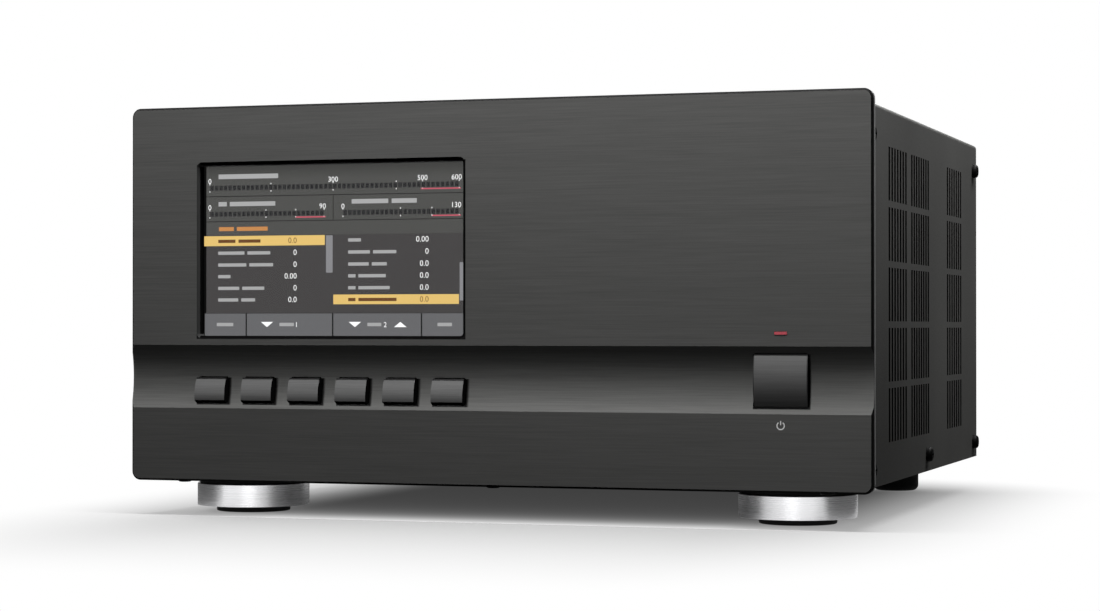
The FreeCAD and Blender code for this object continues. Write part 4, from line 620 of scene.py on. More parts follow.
PANEL_BORDER = 1.6                                     # bevel all round the panel
HOLES_REACH, HOLES_LOW, HOLES_HIGH = 140.0, 18.0, 135.0   # every hole of the panel lies inside
COVER_INSIDE, COVER_OUTSIDE = 142.3, 143.4             # planes just within the cover's sides
COVER_BEND = 139.5                                     # lower end of the cover's bend
BASE_SKIN = 2.95                                       # outside of the base, above the panel's edge
# A normal's y up to which a face still counts as a front face
ARCHED_FRONT, HOLES_FRONT, BORDER_FRONT = -0.6, -0.9, -0.97
BEVEL_TILT = (0.3, 0.9)                                # a normal's x on the opening's left bevel
KEY_GAIN = 1.25                                        # lifts the keys' colour, so that their painted shade levels can stay below 1


def on_slot_wall(place):
    """True inside the thickness of the cover's sides, between its lower edge and its bend."""
    return COVER_INSIDE < abs(place.x) < COVER_OUTSIDE and 3.0 < place.z < COVER_BEND


def paint_edge_shade(finishes):
    """Painted shade: black on the walls of the openings and vent slots and on the sides of keys and button,
    which are partly their black body; a darker edge round the panel with a painted highlight on its rear
    part; a less dark left bevel of the display opening.
    """
    # painted shade: near black for walls in shade
    black = skinned("black_edge", tone(7), 0.4, (0.6, 0.8), specular=0.0, depth=0.1)
    # painted shade: a darker edge round the panel, with a painted highlight on its rear part
    edge = skinned("anodised_edge", tone(15), 0.4, (0.5, 0.65), specular=0.02, depth=0.1,
                   shade=edge_highlight)
    # painted shade: the display opening's left bevel, less dark than the other walls
    bevel = skinned("opening_bevel", tone(40), 0.4, (0.5, 0.65), specular=0.02, depth=0.1)
    # the sides of keys and button: partly their black body, partly painted shade in the gaps
    for node in small_keys + ["power_button"]:
        paint_faces(node, black, lambda place, normal: normal.y > ARCHED_FRONT)
    far = box_mm("front_panel")[1]

    def on_border(place):
        return max(abs(place.x) - far.x, place.z - far.z, -place.z) > -PANEL_BORDER

    # painted shade on the panel's edges and on its faces that do not look forward
    paint_faces("front_panel", edge,
                lambda place, normal: normal.y > (BORDER_FRONT if on_border(place) else ARCHED_FRONT))
    # painted shade on the walls of the panel's holes
    paint_faces("front_panel", black,
                lambda place, normal: normal.y > HOLES_FRONT and abs(place.x) < HOLES_REACH
                and HOLES_LOW < place.z < HOLES_HIGH)
    # painted shade on the opening's left bevel
    paint_faces("front_panel", bevel,
                lambda place, normal: BEVEL_TILT[0] < normal.x < BEVEL_TILT[1] and place.z > COVE_HIGH
                and abs(place.x - PICTURE_LEFT) < OPENING_BEVEL + 0.2)
    paint_faces("chassis_base", finishes["cover_paint"], lambda place, normal: place.z < BASE_SKIN)
    # painted shade on the walls of the vent slots
    paint_faces("top_cover", black, lambda place, normal: on_slot_wall(place))


INSULATOR, CONTACT = 6.58, 2.5            # outer radii inside a coaxial socket
DATA_HEIGHT = 108.0                       # middle of the data sockets
DATA_SHELL = 3.75                         # half the height of their insulators
DATA_ROWS, DATA_PIN = 1.4, 0.6            # their pins' rows from the middle, half a pin's height
DATA_FACE, DATA_PINS, DATA_END = 2.2, 2.0, 5.7   # planes behind the rear panel's face
PHONO_BODY = 1.05
INLET_HEIGHT = 26.0
INLET_PINS = ((-7.0, -2.0), (0.0, 2.0), (7.0, -2.0))   # from the inlet's middle
PIN_WIDE, PIN_HIGH = 1.1, 2.1             # half sizes of a pin
INLET_TABS, INLET_FLOOR, SWITCH_TABS = -20.05, -15.95, -16.05   # planes inside the case


def paint_connectors(finishes):
    """Insulators, contacts and tags of the sockets on the rear panel."""
    white = skinned("white_insulator", tone(222, 220, 212), 0.6, (0.35, 0.5), specular=0.4, contrast=0.04,
                    depth=0.1)
    gold = skinned("gold_contact", tone(222, 178, 96), 0.6, (0.2, 0.3), metallic=1.0, contrast=0.05,
                   depth=0.05)
    dark, bright = finishes["black_plastic"], finishes["nickel"]
    axes = socket_axes()

    def from_axis(place):
        return min(math.hypot(place.x - x, place.z - z) for x, z in axes)

    paint_faces("rf_sockets", white, lambda place, normal: from_axis(place) < INSULATOR)
    paint_faces("rf_sockets", gold, lambda place, normal: from_axis(place) < CONTACT)
    paint_faces("data_sockets", dark,
                lambda place, normal: place.y < rear_y - 0.1
                or (abs(place.z - DATA_HEIGHT) < DATA_SHELL and place.y < rear_y + DATA_FACE
                    and normal.y > 0.5))
    paint_faces("data_sockets", gold,
                lambda place, normal: rear_y + DATA_PINS < place.y < rear_y + DATA_END
                and abs(abs(place.z - DATA_HEIGHT) - DATA_ROWS) < DATA_PIN)
    paint_faces("phono_sockets", dark, lambda place, normal: place.y < rear_y + PHONO_BODY)
    inlet_x = middle_mm("mains_inlet").x

    def on_pin(place):
        return any(abs(place.x - inlet_x - x) < PIN_WIDE and abs(place.z - INLET_HEIGHT - z) < PIN_HIGH
                   for x, z in INLET_PINS)

    paint_faces("mains_inlet", bright,
                lambda place, normal: place.y < rear_y + INLET_TABS
                or (place.y > rear_y + INLET_FLOOR and on_pin(place)))
    paint_faces("mains_switch", bright, lambda place, normal: place.y < rear_y + SWITCH_TABS)


HEADER = 4.5                              # from the front board's front face to its rear end
CAN_PITCH, CAN_ROW, CAN_RADIUS = 20.0, 62.0, 4.05   # the power stage's round capacitors
LID_DEPTH = 3.0                           # height of a transistor's lid
LID_ROW, LID_WIDE, LID_LONG = 22.0, 10.1, 5.1
SLEEVE_SHORT, SLEEVE_LONG = 13.05, 23.05  # half lengths between the transformers' copper ends


def paint_electronics(finishes):
    """Components that stand on the boards in the same node."""
    chip = skinned("chip_black", tone(34, 34, 36), 0.4, (0.4, 0.55), specular=0.4, depth=0.1)
    sleeve = skinned("capacitor_sleeve", tone(36, 40, 58), 0.5, (0.25, 0.38), specular=0.5, depth=0.05)
    film = skinned("film_capacitor", tone(176, 128, 60), 0.6, (0.35, 0.5), specular=0.4, depth=0.1)
    ceramic = skinned("ceramic_lid", tone(226, 222, 210), 0.5, (0.45, 0.6), specular=0.35, contrast=0.04,
                      depth=0.1)
    board_y = box_mm("control_board")[0].y + BOARD
    paint_faces("control_board", chip, lambda place, normal: place.y > board_y + NEAR)
    header_y = box_mm("front_board")[1].y - HEADER
    paint_faces("front_board", chip, lambda place, normal: place.y > header_y + NEAR)
    paint_faces("front_board", ceramic, lambda place, normal: place.y < header_y - BOARD - NEAR)
    floors = {node: box_mm(node)[0].z + BOARD + NEAR for node in ("pa_board", "psu_board", "filter_board")}
    sink = middle_mm("heat_sink")

    def on_can(place):
        beside = min(abs(place.x - sink.x - CAN_PITCH * step) for step in range(-2, 3))
        from_can = math.hypot(beside, abs(place.y - sink.y) - CAN_ROW)
        return place.z > floors["pa_board"] and from_can < CAN_RADIUS

    paint_faces("pa_board", film,
                lambda place, normal: place.z > floors["pa_board"] and not on_can(place))
    paint_faces("pa_board", sleeve, lambda place, normal: on_can(place) and normal.z < 0.9)
    paint_faces("pa_board", finishes["bright_aluminium"],
                lambda place, normal: on_can(place) and normal.z > 0.9)
    paint_faces("psu_board", sleeve, lambda place, normal: place.z > floors["psu_board"])
    paint_faces("filter_board", film, lambda place, normal: place.z > floors["filter_board"])
    middle = middle_mm("rf_transistors")
    lid_z = box_mm("rf_transistors")[1].z - LID_DEPTH
    paint_faces("rf_transistors", ceramic,
                lambda place, normal: place.z > lid_z + NEAR and abs(place.x - middle.x) < LID_WIDE
                and abs(abs(place.y - middle.y) - LID_ROW) < LID_LONG)
    middle_y = middle_mm("rf_transformers").y
    paint_faces("rf_transformers", finishes["copper"],
                lambda place, normal: abs(place.y - middle_y)
                > (SLEEVE_SHORT if place.x < 0 else SLEEVE_LONG))


def dress_nodes(settings):
    """Every CAD node gets its finish, and the parts of mixed nodes get their own."""
    finishes = make_finishes(settings)
    for row in frame["record"]["subparts"]:
        mesh = nodes[row["node"]].data
        mesh.materials.clear()
        mesh.materials.append(finishes[row["material_slot"]])
    nodes["front_foot_right"].data.materials[0] = turned_aluminium(
        "front_foot_right", "turned_foot_right", settings.foot_colour)
    # The keys' material carries painted shade along their arched faces, with a painted shadow line at the
    # top.
    key_metal = brushed_metal("anodised_keys", [c * KEY_GAIN for c in settings.key_colour],
                              pitch=settings.brush_pitch, specular=0.1, rough=(0.36, 0.5), shade=key_shade)
    for node in small_keys:
        nodes[node].data.materials[0] = key_metal
    paint_edge_shade(finishes)
    paint_connectors(finishes)
    paint_electronics(finishes)


# ---- mesh building -----------------------------------------------------------------------

def new_piece(name, shape, material, body="case"):
    mesh = bpy.data.meshes.new(name)
    shape.to_mesh(mesh)
    shape.free()
    mesh.materials.append(material)
    piece = bpy.data.objects.new(name, mesh)
    bpy.context.scene.collection.objects.link(piece)
    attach(piece, body)
    return piece


def add_box(shape, low, high):
    """A closed box between two corners."""
    middle, size = (low + high) / 2, high - low
    bmesh.ops.create_cube(shape, size=1.0, matrix=Matrix.LocRotScale(middle, None, size))


def circle(x, y, radius, steps):
    """Points round a circle, as pairs."""
    angles = [2 * math.pi * step / steps for step in range(steps)]
    return [(x + radius * math.cos(angle), y + radius * math.sin(angle)) for angle in angles]


def arc_pieces(x, z, inner, outer, start, end, steps):
    """Outlines of the short pieces of an arc, from one angle in degrees to another."""
    angles = [math.radians(start + (end - start) * step / steps) for step in range(steps + 1)]
    for a, b in zip(angles, angles[1:]):
        yield [(x + radius * math.cos(angle), z + radius * math.sin(angle))
               for radius, angle in ((inner, a), (outer, a), (outer, b), (inner, b))]


def add_skin(shape, loops, closed=False):
    """Quads from loop to loop of vertices; closed joins the last to the first, else both get a cap."""
    for first, second in zip(loops, loops[1:] + (loops[:1] if closed else [])):
        for i in range(len(first)):
            j = (i + 1) % len(first)
            shape.faces.new((first[i], first[j], second[j], second[i]))
    if not closed:
        shape.faces.new(loops[0][::-1])
        shape.faces.new(loops[-1])


def add_prism(shape, outline, y_front, y_back):
    """A flat closed plate whose outline is given as (x, z) in mm of the panel."""
    add_skin(shape, [[shape.verts.new(at(x, y, z)) for x, z in outline] for y in (y_back, y_front)])


def add_ring(shape, x, z, y_front, y_back, inner, outer):
    """A flat closed ring across the front-to-back direction."""
    corners = ((inner, y_back), (outer, y_back), (outer, y_front), (inner, y_front))
    add_skin(shape, [[shape.verts.new(at(px, y, pz)) for px, pz in circle(x, z, radius, 28)]
                     for radius, y in corners], closed=True)


def add_lathe(shape, centre, profile):
    """A closed ring turned around a vertical axis from (radius, height) pairs in mm."""
    add_skin(shape, [[shape.verts.new((x, y, panel_low.z + height * MM))
                      for x, y in circle(centre.x, centre.y, radius * MM, 48)]
                     for radius, height in profile], closed=True)


def add_tube(shape, points, radius, sides, closed=False):
    """A round tube along points in the frame."""
    rings = []
    count = len(points)
    for i, point in enumerate(points):
        ahead = points[(i + 1) % count] if closed or i < count - 1 else point
        behind = points[i - 1] if closed or i > 0 else point
        along = (ahead - behind).normalized()
        side = along.cross(Vector((0.0, 0.0, 1.0)))
        if side.length < 0.1:
            side = along.cross(Vector((1.0, 0.0, 0.0)))
        side.normalize()
        other = along.cross(side)
        rings.append([shape.verts.new(point + side * x + other * y) for x, y in circle(0, 0, radius, sides)])
    add_skin(shape, rings, closed)


RIDGE = 0.18 * MM                         # radius of a thread's ridge
RIDGE_STEPS = 28                          # in each turn


def wind_thread(shape, x, z, y_start, y_end, radius, pitch):
    """A ridge wound round a front-to-back axis."""
    points = []
    for i in range(int((y_end - y_start) / pitch * RIDGE_STEPS) + 1):
        angle = 2 * math.pi * i / RIDGE_STEPS
        points.append(at(x + radius * math.cos(angle), y_start + pitch * i / RIDGE_STEPS,
                         z + radius * math.sin(angle)))
    add_tube(shape, points, RIDGE, 6)


# ---- display picture: places in mm of the panel ------------------------------------------

LAYER = 0.02                              # step from one layer of the picture to the next
AREA_LEFT = -116.6
LIST_TOP, SOFT_KEY_TOP = 95.2, 64.9
MIDDLE_RULE = -63.25
SCALE_ROWS = (
    # left, right, bottom, top, segments, tick places, start of the red limit
    (-115.1, -11.9, 112.68, 114.56, 54, (-115.1, -89.2, -63.26, -37.33, -26.65, -11.9), -27.3),
    (-115.1, -67.0, 102.57, 104.38, 25, (-115.1, -91.3, -78.8, -67.0), -78.8),
    (-59.2, -11.9, 102.47, 104.38, 25, (-59.2, -35.6, -22.87, -11.9), -22.87),
)
SEGMENT_START, SEGMENT_END = 0.12, 0.88   # shares of a segment's pitch
TICK_HALF = 0.14
TICK_NEAR, TICK_FAR = 0.25, 0.7           # ends of a tick, from the scale
LIMIT_NEAR, LIMIT_FAR = 0.4, 0.85
# text, place of its middle, lower edge
SCALE_NUMBERS = (("0", -115.1, 115.3), ("300", -63.26, 115.3), ("500", -26.65, 115.3),
                 ("600", -12.9, 115.3), ("0", -115.1, 105.1), ("90", -67.6, 105.1),
                 ("0", -59.2, 104.9), ("130", -12.9, 104.85))
SCALE_NUMBER_HEIGHT, KEY_NUMBER_HEIGHT, ROW_HEIGHT = 1.95, 1.9, 2.1
KEY_NUMBERS = (("1", -78.6), ("2", -42.4))
KEY_NUMBER_BASE = 59.65
ROW_BASES = (92.0, 87.4, 82.8, 78.3, 73.75, 69.25)
LABEL_LOW, LABEL_HIGH = 0.3, 1.55         # lower and upper edge of a label, from its row's base
# Ends of the bars in each row
LEFT_LABELS = ((-111.5, -104.2, -102.9, -93.6), (-111.5, -100.4, -99.1, -89.5),
               (-111.5, -99.6, -98.3, -88.3), (-111.5, -106.3), (-111.5, -102.6, -101.3, -92.0),
               (-111.5, -103.0, -101.7, -95.9))
RIGHT_LABELS = ((-57.0, -51.8), (-57.0, -48.1, -46.8, -37.3), (-57.0, -48.6, -47.3, -41.2),
                (-57.0, -54.0, -52.8, -41.6), (-57.0, -54.0, -52.8, -40.0),
                (-57.0, -54.0, -52.8, -37.2))
LEFT_CHOSEN, RIGHT_CHOSEN = 0, 5          # rows under a highlight
# values of the rows, their right end, the chosen row
COLUMNS = ((("0.0", "0", "0", "0.00", "0", "0.0"), -78.4, LEFT_CHOSEN),
           (("0.00", "0", "0.0", "0.0", "0.0", "0.0"), -24.2, RIGHT_CHOSEN))
SOFT_KEY_ENDS = (PICTURE_LEFT, -99.6, MIDDLE_RULE - 0.15, -27.05, PICTURE_RIGHT)
SOFT_KEY_GAP = 0.28
# (left, right, bottom, top)
RULES = ((AREA_LEFT, PICTURE_RIGHT, 110.2, 110.45), (AREA_LEFT, PICTURE_RIGHT, 100.45, 100.7),
         (MIDDLE_RULE - 0.12, MIDDLE_RULE + 0.12, 100.7, 110.2))
TITLE = ((-111.2, -104.9, 96.9, 98.45), (-103.6, -90.6, 96.9, 98.45))
HIGHLIGHTS = ((PICTURE_LEFT, -66.7, 91.1, 94.95), (MIDDLE_RULE + 0.1, -12.0, 68.4, 72.1))
SLIDERS = ((-66.2, -63.45, 80.5, 94.8), (-11.7, PICTURE_RIGHT, 69.7, 84.1))
WORDS = ((-111.4, -86.2, 117.1, 118.9), (-111.4, -107.9, 106.5, 108.2), (-106.6, -87.4, 106.5, 108.2),
         (-55.6, -40.6, 106.8, 108.5), (-39.2, -29.0, 106.8, 108.5),
         (-112.1, -105.1, 60.0, 61.3), (-85.6, -79.6, 60.0, 61.3), (-49.1, -43.4, 60.0, 61.3),
         (-20.6, -14.8, 60.0, 61.3))
ARROWS = ((-90.85, 61.65, 59.65), (-54.25, 61.65, 59.65), (-35.65, 59.65, 61.65))   # middle, base, tip
ARROW_HALF = 2.55
LIMIT_PAST = 0.6                          # a red limit's length past the scale's end
NUMERAL_OFFSET = -0.006                   # thins the strokes, in units of the font
MARK_STRENGTH, HEADER_TOP_SHADOW = 1.2, 0.45    # the marks' light, and the header's painted shadow at its upper edge


def layer_span(level):
    """Front and back of a thin layer in front of the display's face, in mm behind the panel."""
    face = box_mm("display_module")[0].y
    return face - LAYER * (level + 1), face - LAYER * (level + 0.25)


def plate_shape(plates, level):
    """Closed thin plates from their left, right, lower and upper edges."""
    shape = bmesh.new()
    front, back = layer_span(level)
    for left, right, bottom, top in plates:
        add_box(shape, at(left, front, bottom), at(right, back, top))
    return shape


def add_number(shape, text, x, base, height, level, anchor):
    """Upright numerals on a base line; anchor is 0, 0.5 or 1 for x at their left, middle or right."""
    curve = bpy.data.curves.new("numeral", "FONT")
    curve.body = text
    curve.extrude = 0.01
    curve.offset = NUMERAL_OFFSET
    curve.resolution_u = 3
    carrier = bpy.data.objects.new("numeral", curve)
    bpy.context.scene.collection.objects.link(carrier)
    bpy.context.view_layer.update()
    mesh = bpy.data.meshes.new_from_object(carrier.evaluated_get(bpy.context.evaluated_depsgraph_get()))
    left, right = (end(v.co.x for v in mesh.vertices) for end in (min, max))
    low, high = (end(v.co.y for v in mesh.vertices) for end in (min, max))
    scale = height / (high - low)
    front, back = layer_span(level)
    for vertex in mesh.vertices:
        depth = front if vertex.co.z > 0 else back
        vertex.co = at(x + (vertex.co.x - left - (right - left) * anchor) * scale, depth,
                       base + (vertex.co.y - low) * scale)
    shape.from_mesh(mesh)
    bpy.data.objects.remove(carrier)
    bpy.data.curves.remove(curve)
    bpy.data.meshes.remove(mesh)


def label_plates(labels, rows):
    """Short plain bars in place of the words of some rows."""
    return [(left, right, ROW_BASES[row] + LABEL_LOW, ROW_BASES[row] + LABEL_HIGH)
            for row in rows for left, right in zip(labels[row][::2], labels[row][1::2])]


def scale_plates():
    """Unlit segments, ticks and red limits of the three scales."""
    segments, ticks, limits = [], [], []
    for left, right, bottom, top, count, places, limit in SCALE_ROWS:
        pitch = (right - left) / count
        segments += [(left + pitch * (step + SEGMENT_START), left + pitch * (step + SEGMENT_END), bottom, top)
                     for step in range(count)]
        for place in places:
            ends = place - TICK_HALF, place + TICK_HALF
            ticks.append((*ends, top + TICK_NEAR, top + TICK_FAR))
            ticks.append((*ends, bottom - TICK_FAR, bottom - TICK_NEAR))
        limits.append((limit, right + LIMIT_PAST, bottom - LIMIT_FAR, bottom - LIMIT_NEAR))
    return segments, ticks, limits


def build_display(settings):
    """The picture behind the cover glass: scales, lists, soft keys; numerals and plain bars only."""
    screens = {name: lit_screen("screen_" + name, getattr(settings, name + "_colour"),
                                strength=MARK_STRENGTH if name == "mark" else 1.0,
                                top_fall=HEADER_TOP_SHADOW if name == "header" else 0.0)
               for name in ("header", "list", "scale", "mark", "label", "title", "highlight",
                            "ink", "limit", "key", "slider")}
    screens["dark"] = lit_screen("screen_dark", tone(16))
    segments, ticks, limits = scale_plates()
    soft_keys = [(left + SOFT_KEY_GAP, right - SOFT_KEY_GAP, PICTURE_BOTTOM, SOFT_KEY_TOP)
                 for left, right in zip(SOFT_KEY_ENDS, SOFT_KEY_ENDS[1:])]
    rows = range(len(ROW_BASES))
    labels = (label_plates(LEFT_LABELS, [row for row in rows if row != LEFT_CHOSEN])
              + label_plates(RIGHT_LABELS, [row for row in rows if row != RIGHT_CHOSEN]))
    chosen_labels = label_plates(LEFT_LABELS, [LEFT_CHOSEN]) + label_plates(RIGHT_LABELS, [RIGHT_CHOSEN])
    for name, colour, level, plates in (
            ("picture_ground", "dark", 0, [(PICTURE_LEFT, PICTURE_RIGHT, PICTURE_BOTTOM, PICTURE_TOP)]),
            ("header", "header", 1, [(AREA_LEFT, PICTURE_RIGHT, LIST_TOP, PICTURE_TOP - 0.5)]),
            ("lists", "list", 1, [(AREA_LEFT, PICTURE_RIGHT, SOFT_KEY_TOP + 0.15, LIST_TOP)]),
            ("soft_keys", "key", 1, soft_keys),
            ("rules", "dark", 2, RULES),
            ("segments", "scale", 2, segments),
            ("limits", "limit", 3, limits),
            ("title", "title", 2, TITLE),
            ("highlights", "highlight", 2, HIGHLIGHTS),
            ("sliders", "slider", 2, SLIDERS),
            ("labels", "label", 2, [*WORDS, *labels]),
            ("chosen_labels", "ink", 3, chosen_labels)):
        new_piece("display_" + name, plate_shape(plates, level), screens[colour])
    marks, chosen = plate_shape(ticks, 3), bmesh.new()
    for middle, base, tip in ARROWS:
        outline = [(middle - ARROW_HALF, base), (middle + ARROW_HALF, base), (middle, tip)]
        add_prism(marks, outline if tip > base else outline[::-1], *layer_span(3))
    for text, x, base in SCALE_NUMBERS:
        add_number(marks, text, x, base, SCALE_NUMBER_HEIGHT, 3, 0.5)
    for text, x in KEY_NUMBERS:
        add_number(marks, text, x, KEY_NUMBER_BASE, KEY_NUMBER_HEIGHT, 3, 0.0)
    for values, right, chosen_row in COLUMNS:
        for row, (text, base) in enumerate(zip(values, ROW_BASES)):
            add_number(chosen if row == chosen_row else marks, text, right, base, ROW_HEIGHT, 4, 1.0)
    new_piece("display_marks", marks, screens["mark"])
    new_piece("display_chosen_values", chosen, screens["ink"])


# ---- small pieces ------------------------------------------------------------------------

PRINT = 0.02                              # thickness of printed marks
POWER_MARK_X, POWER_MARK_Z = 112.8, 24.2
POWER_MARK_RADIUS, POWER_MARK_STROKE = 1.35, 0.2   # stroke: half of its width
POWER_MARK_ARC = (125, 415, 28)           # start and end in degrees, number of pieces
POWER_MARK_STEM = (0.2, 1.75)             # ends of the short stroke, above the ring's middle
SOCKET_THREAD = (2.2, 17.6, 7.86, 1.06)   # start and end behind the rear panel, radius, pitch
STUD_THREAD = (8.9, 0.5, 2.95, 1.0)       # start, length of the bare tip, radius, pitch
FOOT_TOP = -2.1                           # top face of the turned front feet
WASHER_INNER, WASHER_OUTER, WASHER_BULGE = 13.1, 21.0, 0.6
WASHER_GAP = 0.02                         # air above and below a washer
WASHER_ROUND = 0.5                        # height of the slant above and below its outer wall
LIP_WIDTH = 0.35                          # black lip of painted shade on each side of a vent slot
LIP_SUNK, LIP_RAISED = 0.01, 0.02         # its planes within and outside the cover's side
SLOT_HEIGHTS = (15, 25)                   # a face of such a height is a slot's long wall
PHONO_FIRST, PHONO_PITCH = 9.0, 18.0      # axes of the phono sockets, from the end of their plate
PHONO_RING = (1.75, 3.2)                  # radii
PHONO_RING_THICK = 0.04
ROCKER_MARK = 6.4                         # middle of each mark, above and below the rocker's middle
ROCKER_PRINT = 0.03                       # thickness of the marks
BAR_HALF, BAR_PART = 0.4, 1.2             # half width of the stroke, height of each of its parts
ROCKER_RING = (1.5, 2.2)
RAY_START = 30                            # behind the rear panel, where the marks are cast from


def build_power_mark():
    """The printed power mark below the button: an open ring and a short stroke."""
    shape = bmesh.new()
    x, z, radius, half = POWER_MARK_X, POWER_MARK_Z, POWER_MARK_RADIUS, POWER_MARK_STROKE
    for outline in arc_pieces(x, z, radius - half, radius + half, *POWER_MARK_ARC):
        add_prism(shape, outline[::-1], -PRINT, 0.0)
    bottom, top = POWER_MARK_STEM
    add_box(shape, at(x - half, -PRINT, z + bottom), at(x + half, 0.0, z + top))
    bmesh.ops.remove_doubles(shape, verts=shape.verts, dist=WELD)
    paint = skinned("panel_print", tone(226), 0.3, (0.5, 0.6), contrast=0.04, depth=0.1)
    new_piece("power_mark", shape, paint)


def build_threads():
    """Thread ridges on the two coaxial sockets and on the earth stud."""
    nickel = finish_of("nickel")
    shape = bmesh.new()
    start, end, radius, pitch = SOCKET_THREAD
    for x, z in socket_axes():
        wind_thread(shape, x, z, rear_y + start, rear_y + end, radius, pitch)
    new_piece("socket_threads", shape, nickel)
    shape = bmesh.new()
    start, tip, radius, pitch = STUD_THREAD
    post, end = middle_mm("ground_post"), box_mm("ground_post")[1].y
    wind_thread(shape, post.x, post.z, rear_y + start, end - tip, radius, pitch)
    new_piece("stud_thread", shape, nickel)


def build_vent_shade_lips():
    """Narrow black lips of painted shade along both long edges of each vent slot, on the cover's outside."""
    mesh = nodes["top_cover"].data
    outside = box_mm("top_cover")[1].x
    walls = set()
    for face in mesh.polygons:
        place = from_panel(face.center)
        heights = [from_panel(mesh.vertices[index].co).z for index in face.vertices]
        low, high = min(heights), max(heights)
        if (on_slot_wall(place) and abs(face.normal.y) > 0.9
                and SLOT_HEIGHTS[0] < high - low < SLOT_HEIGHTS[1]):
            walls.add((math.copysign(1.0, place.x), math.copysign(1.0, face.normal.y),
                       round(place.y, 2), round(low, 2), round(high, 2)))
    shape = bmesh.new()
    for side, way, y, low, high in sorted(walls):
        left, right = sorted((side * (outside - LIP_SUNK), side * (outside + LIP_RAISED)))
        front, back = sorted((y, y - way * LIP_WIDTH))
        add_box(shape, at(left, front, low), at(right, back, high))
    new_piece("vent_lips", shape, bpy.data.materials["black_edge"])


def build_foot_washers():
    """Rubber washers between the turned front feet and the base."""
    rubber = finish_of("black_rubber")
    bottom, top = FOOT_TOP + WASHER_GAP, box_mm("chassis_base")[0].z
    belly = WASHER_OUTER + WASHER_BULGE
    profile = [(WASHER_INNER, bottom), (WASHER_OUTER, bottom), (belly, bottom + WASHER_ROUND),
               (belly, top - WASHER_ROUND), (WASHER_OUTER, top - WASHER_GAP),
               (WASHER_INNER, top - WASHER_GAP)]
    for side in ("left", "right"):
        low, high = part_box("front_foot_" + side)
        shape = bmesh.new()
        add_lathe(shape, (low + high) / 2, profile)
        new_piece(f"foot_washer_{side}", shape, rubber)


def build_phono_rings():
    """Coloured insulating rings in the mouths of the phono sockets."""
    low, high = box_mm("phono_sockets")
    for number, hue in enumerate((tone(30), tone(30), tone(190, 40, 36), tone(190, 40, 36))):
        shape = bmesh.new()
        x = low.x + PHONO_FIRST + PHONO_PITCH * number
        add_ring(shape, x, (low.z + high.z) / 2, high.y, high.y + PHONO_RING_THICK, *PHONO_RING)
        plastic = skinned(f"phono_ring_plastic_{number + 1}", hue, 0.5, (0.35, 0.5), specular=0.4,
                          depth=0.1)
        new_piece(f"phono_ring_{number + 1}", shape, plastic)


def build_rocker_marks():
    """The stroke and the ring printed on the two ends of the mains rocker."""
    rocker = nodes["mains_rocker"]
    centre = middle_mm("mains_rocker")
    shape = bmesh.new()

    def surface(x, z, lift):
        hit, place = rocker.ray_cast(at(x, rear_y + RAY_START, z), Vector((0.0, -1.0, 0.0)))[:2]
        if not hit:
            raise RuntimeError("a mark misses the rocker")
        return shape.verts.new(place + Vector((0.0, lift * MM, 0.0)))

    x = centre.x
    bottoms = [centre.z + ROCKER_MARK + BAR_PART * step for step in range(-2, 2)]
    outlines = [[(x - BAR_HALF, z), (x + BAR_HALF, z), (x + BAR_HALF, z + BAR_PART),
                 (x - BAR_HALF, z + BAR_PART)] for z in bottoms]
    outlines += arc_pieces(x, centre.z - ROCKER_MARK, *ROCKER_RING, 0, 360, 20)
    for outline in outlines:
        add_skin(shape, [[surface(*point, lift) for point in outline] for lift in (ROCKER_PRINT, 0.0)])
    bmesh.ops.remove_doubles(shape, verts=shape.verts, dist=WELD)
    bmesh.ops.recalc_face_normals(shape, faces=shape.faces)
    new_piece("rocker_marks", shape, bpy.data.materials["panel_print"], body="rocker")


COIL_ROW = 5                              # coils in each of the two rows
COIL_TURNS, TURN_STEPS = 22, 16
COIL_START, COIL_SWEEP = 25, 310          # degrees round the core
WIRE = 0.45 * MM                          # radius of the wire
WIRE_GAP = 0.05 * MM                      # between the wire and the core


def coil_radius():
    """Outer radius of a coil, from the half of the node that holds one row."""
    low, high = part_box("filter_coils")
    left = [v.co.x for v in nodes["filter_coils"].data.vertices if v.co.x < (low.x + high.x) / 2]
    return (max(left) - min(left)) / 2


def build_coils():
    """Wound ring cores in place of the filter's plain rings."""
    low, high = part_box("filter_coils")
    core_shape, wire_shape = bmesh.new(), bmesh.new()
    section = (high.z - low.z) / 2
    outer = coil_radius()
    ring = outer - section
    reach = section - WIRE
    steps = COIL_TURNS * TURN_STEPS
    rows = [(x, low.y + outer + (high.y - low.y - 2 * outer) * step / (COIL_ROW - 1))
            for x in (low.x + outer, high.x - outer) for step in range(COIL_ROW)]
    for x, y in rows:
        centre = Vector((x, y, low.z + section))
        loop = [Vector((px, py, centre.z)) for px, py in circle(x, y, ring, 48)]
        add_tube(core_shape, loop, section - 2 * WIRE - WIRE_GAP, 16, closed=True)
        points = []
        for i in range(steps + 1):
            turn = 2 * math.pi * i / TURN_STEPS
            place = math.radians(COIL_START) + math.radians(COIL_SWEEP) * i / steps
            radius = ring + reach * math.cos(turn)
            points.append(centre + Vector((radius * math.cos(place), radius * math.sin(place),
                                           reach * math.sin(turn))))
        add_tube(wire_shape, points, WIRE, 6)
    core_paint = skinned("ring_core", tone(150, 40, 34), 0.6, (0.5, 0.65))
    cores = new_piece("coil_cores", core_shape, core_paint)
    new_piece("coil_windings", wire_shape, finish_of("coil"))
    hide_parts("filter_coils")


# ---- studio: places in metres of the frame -----------------------------------------------

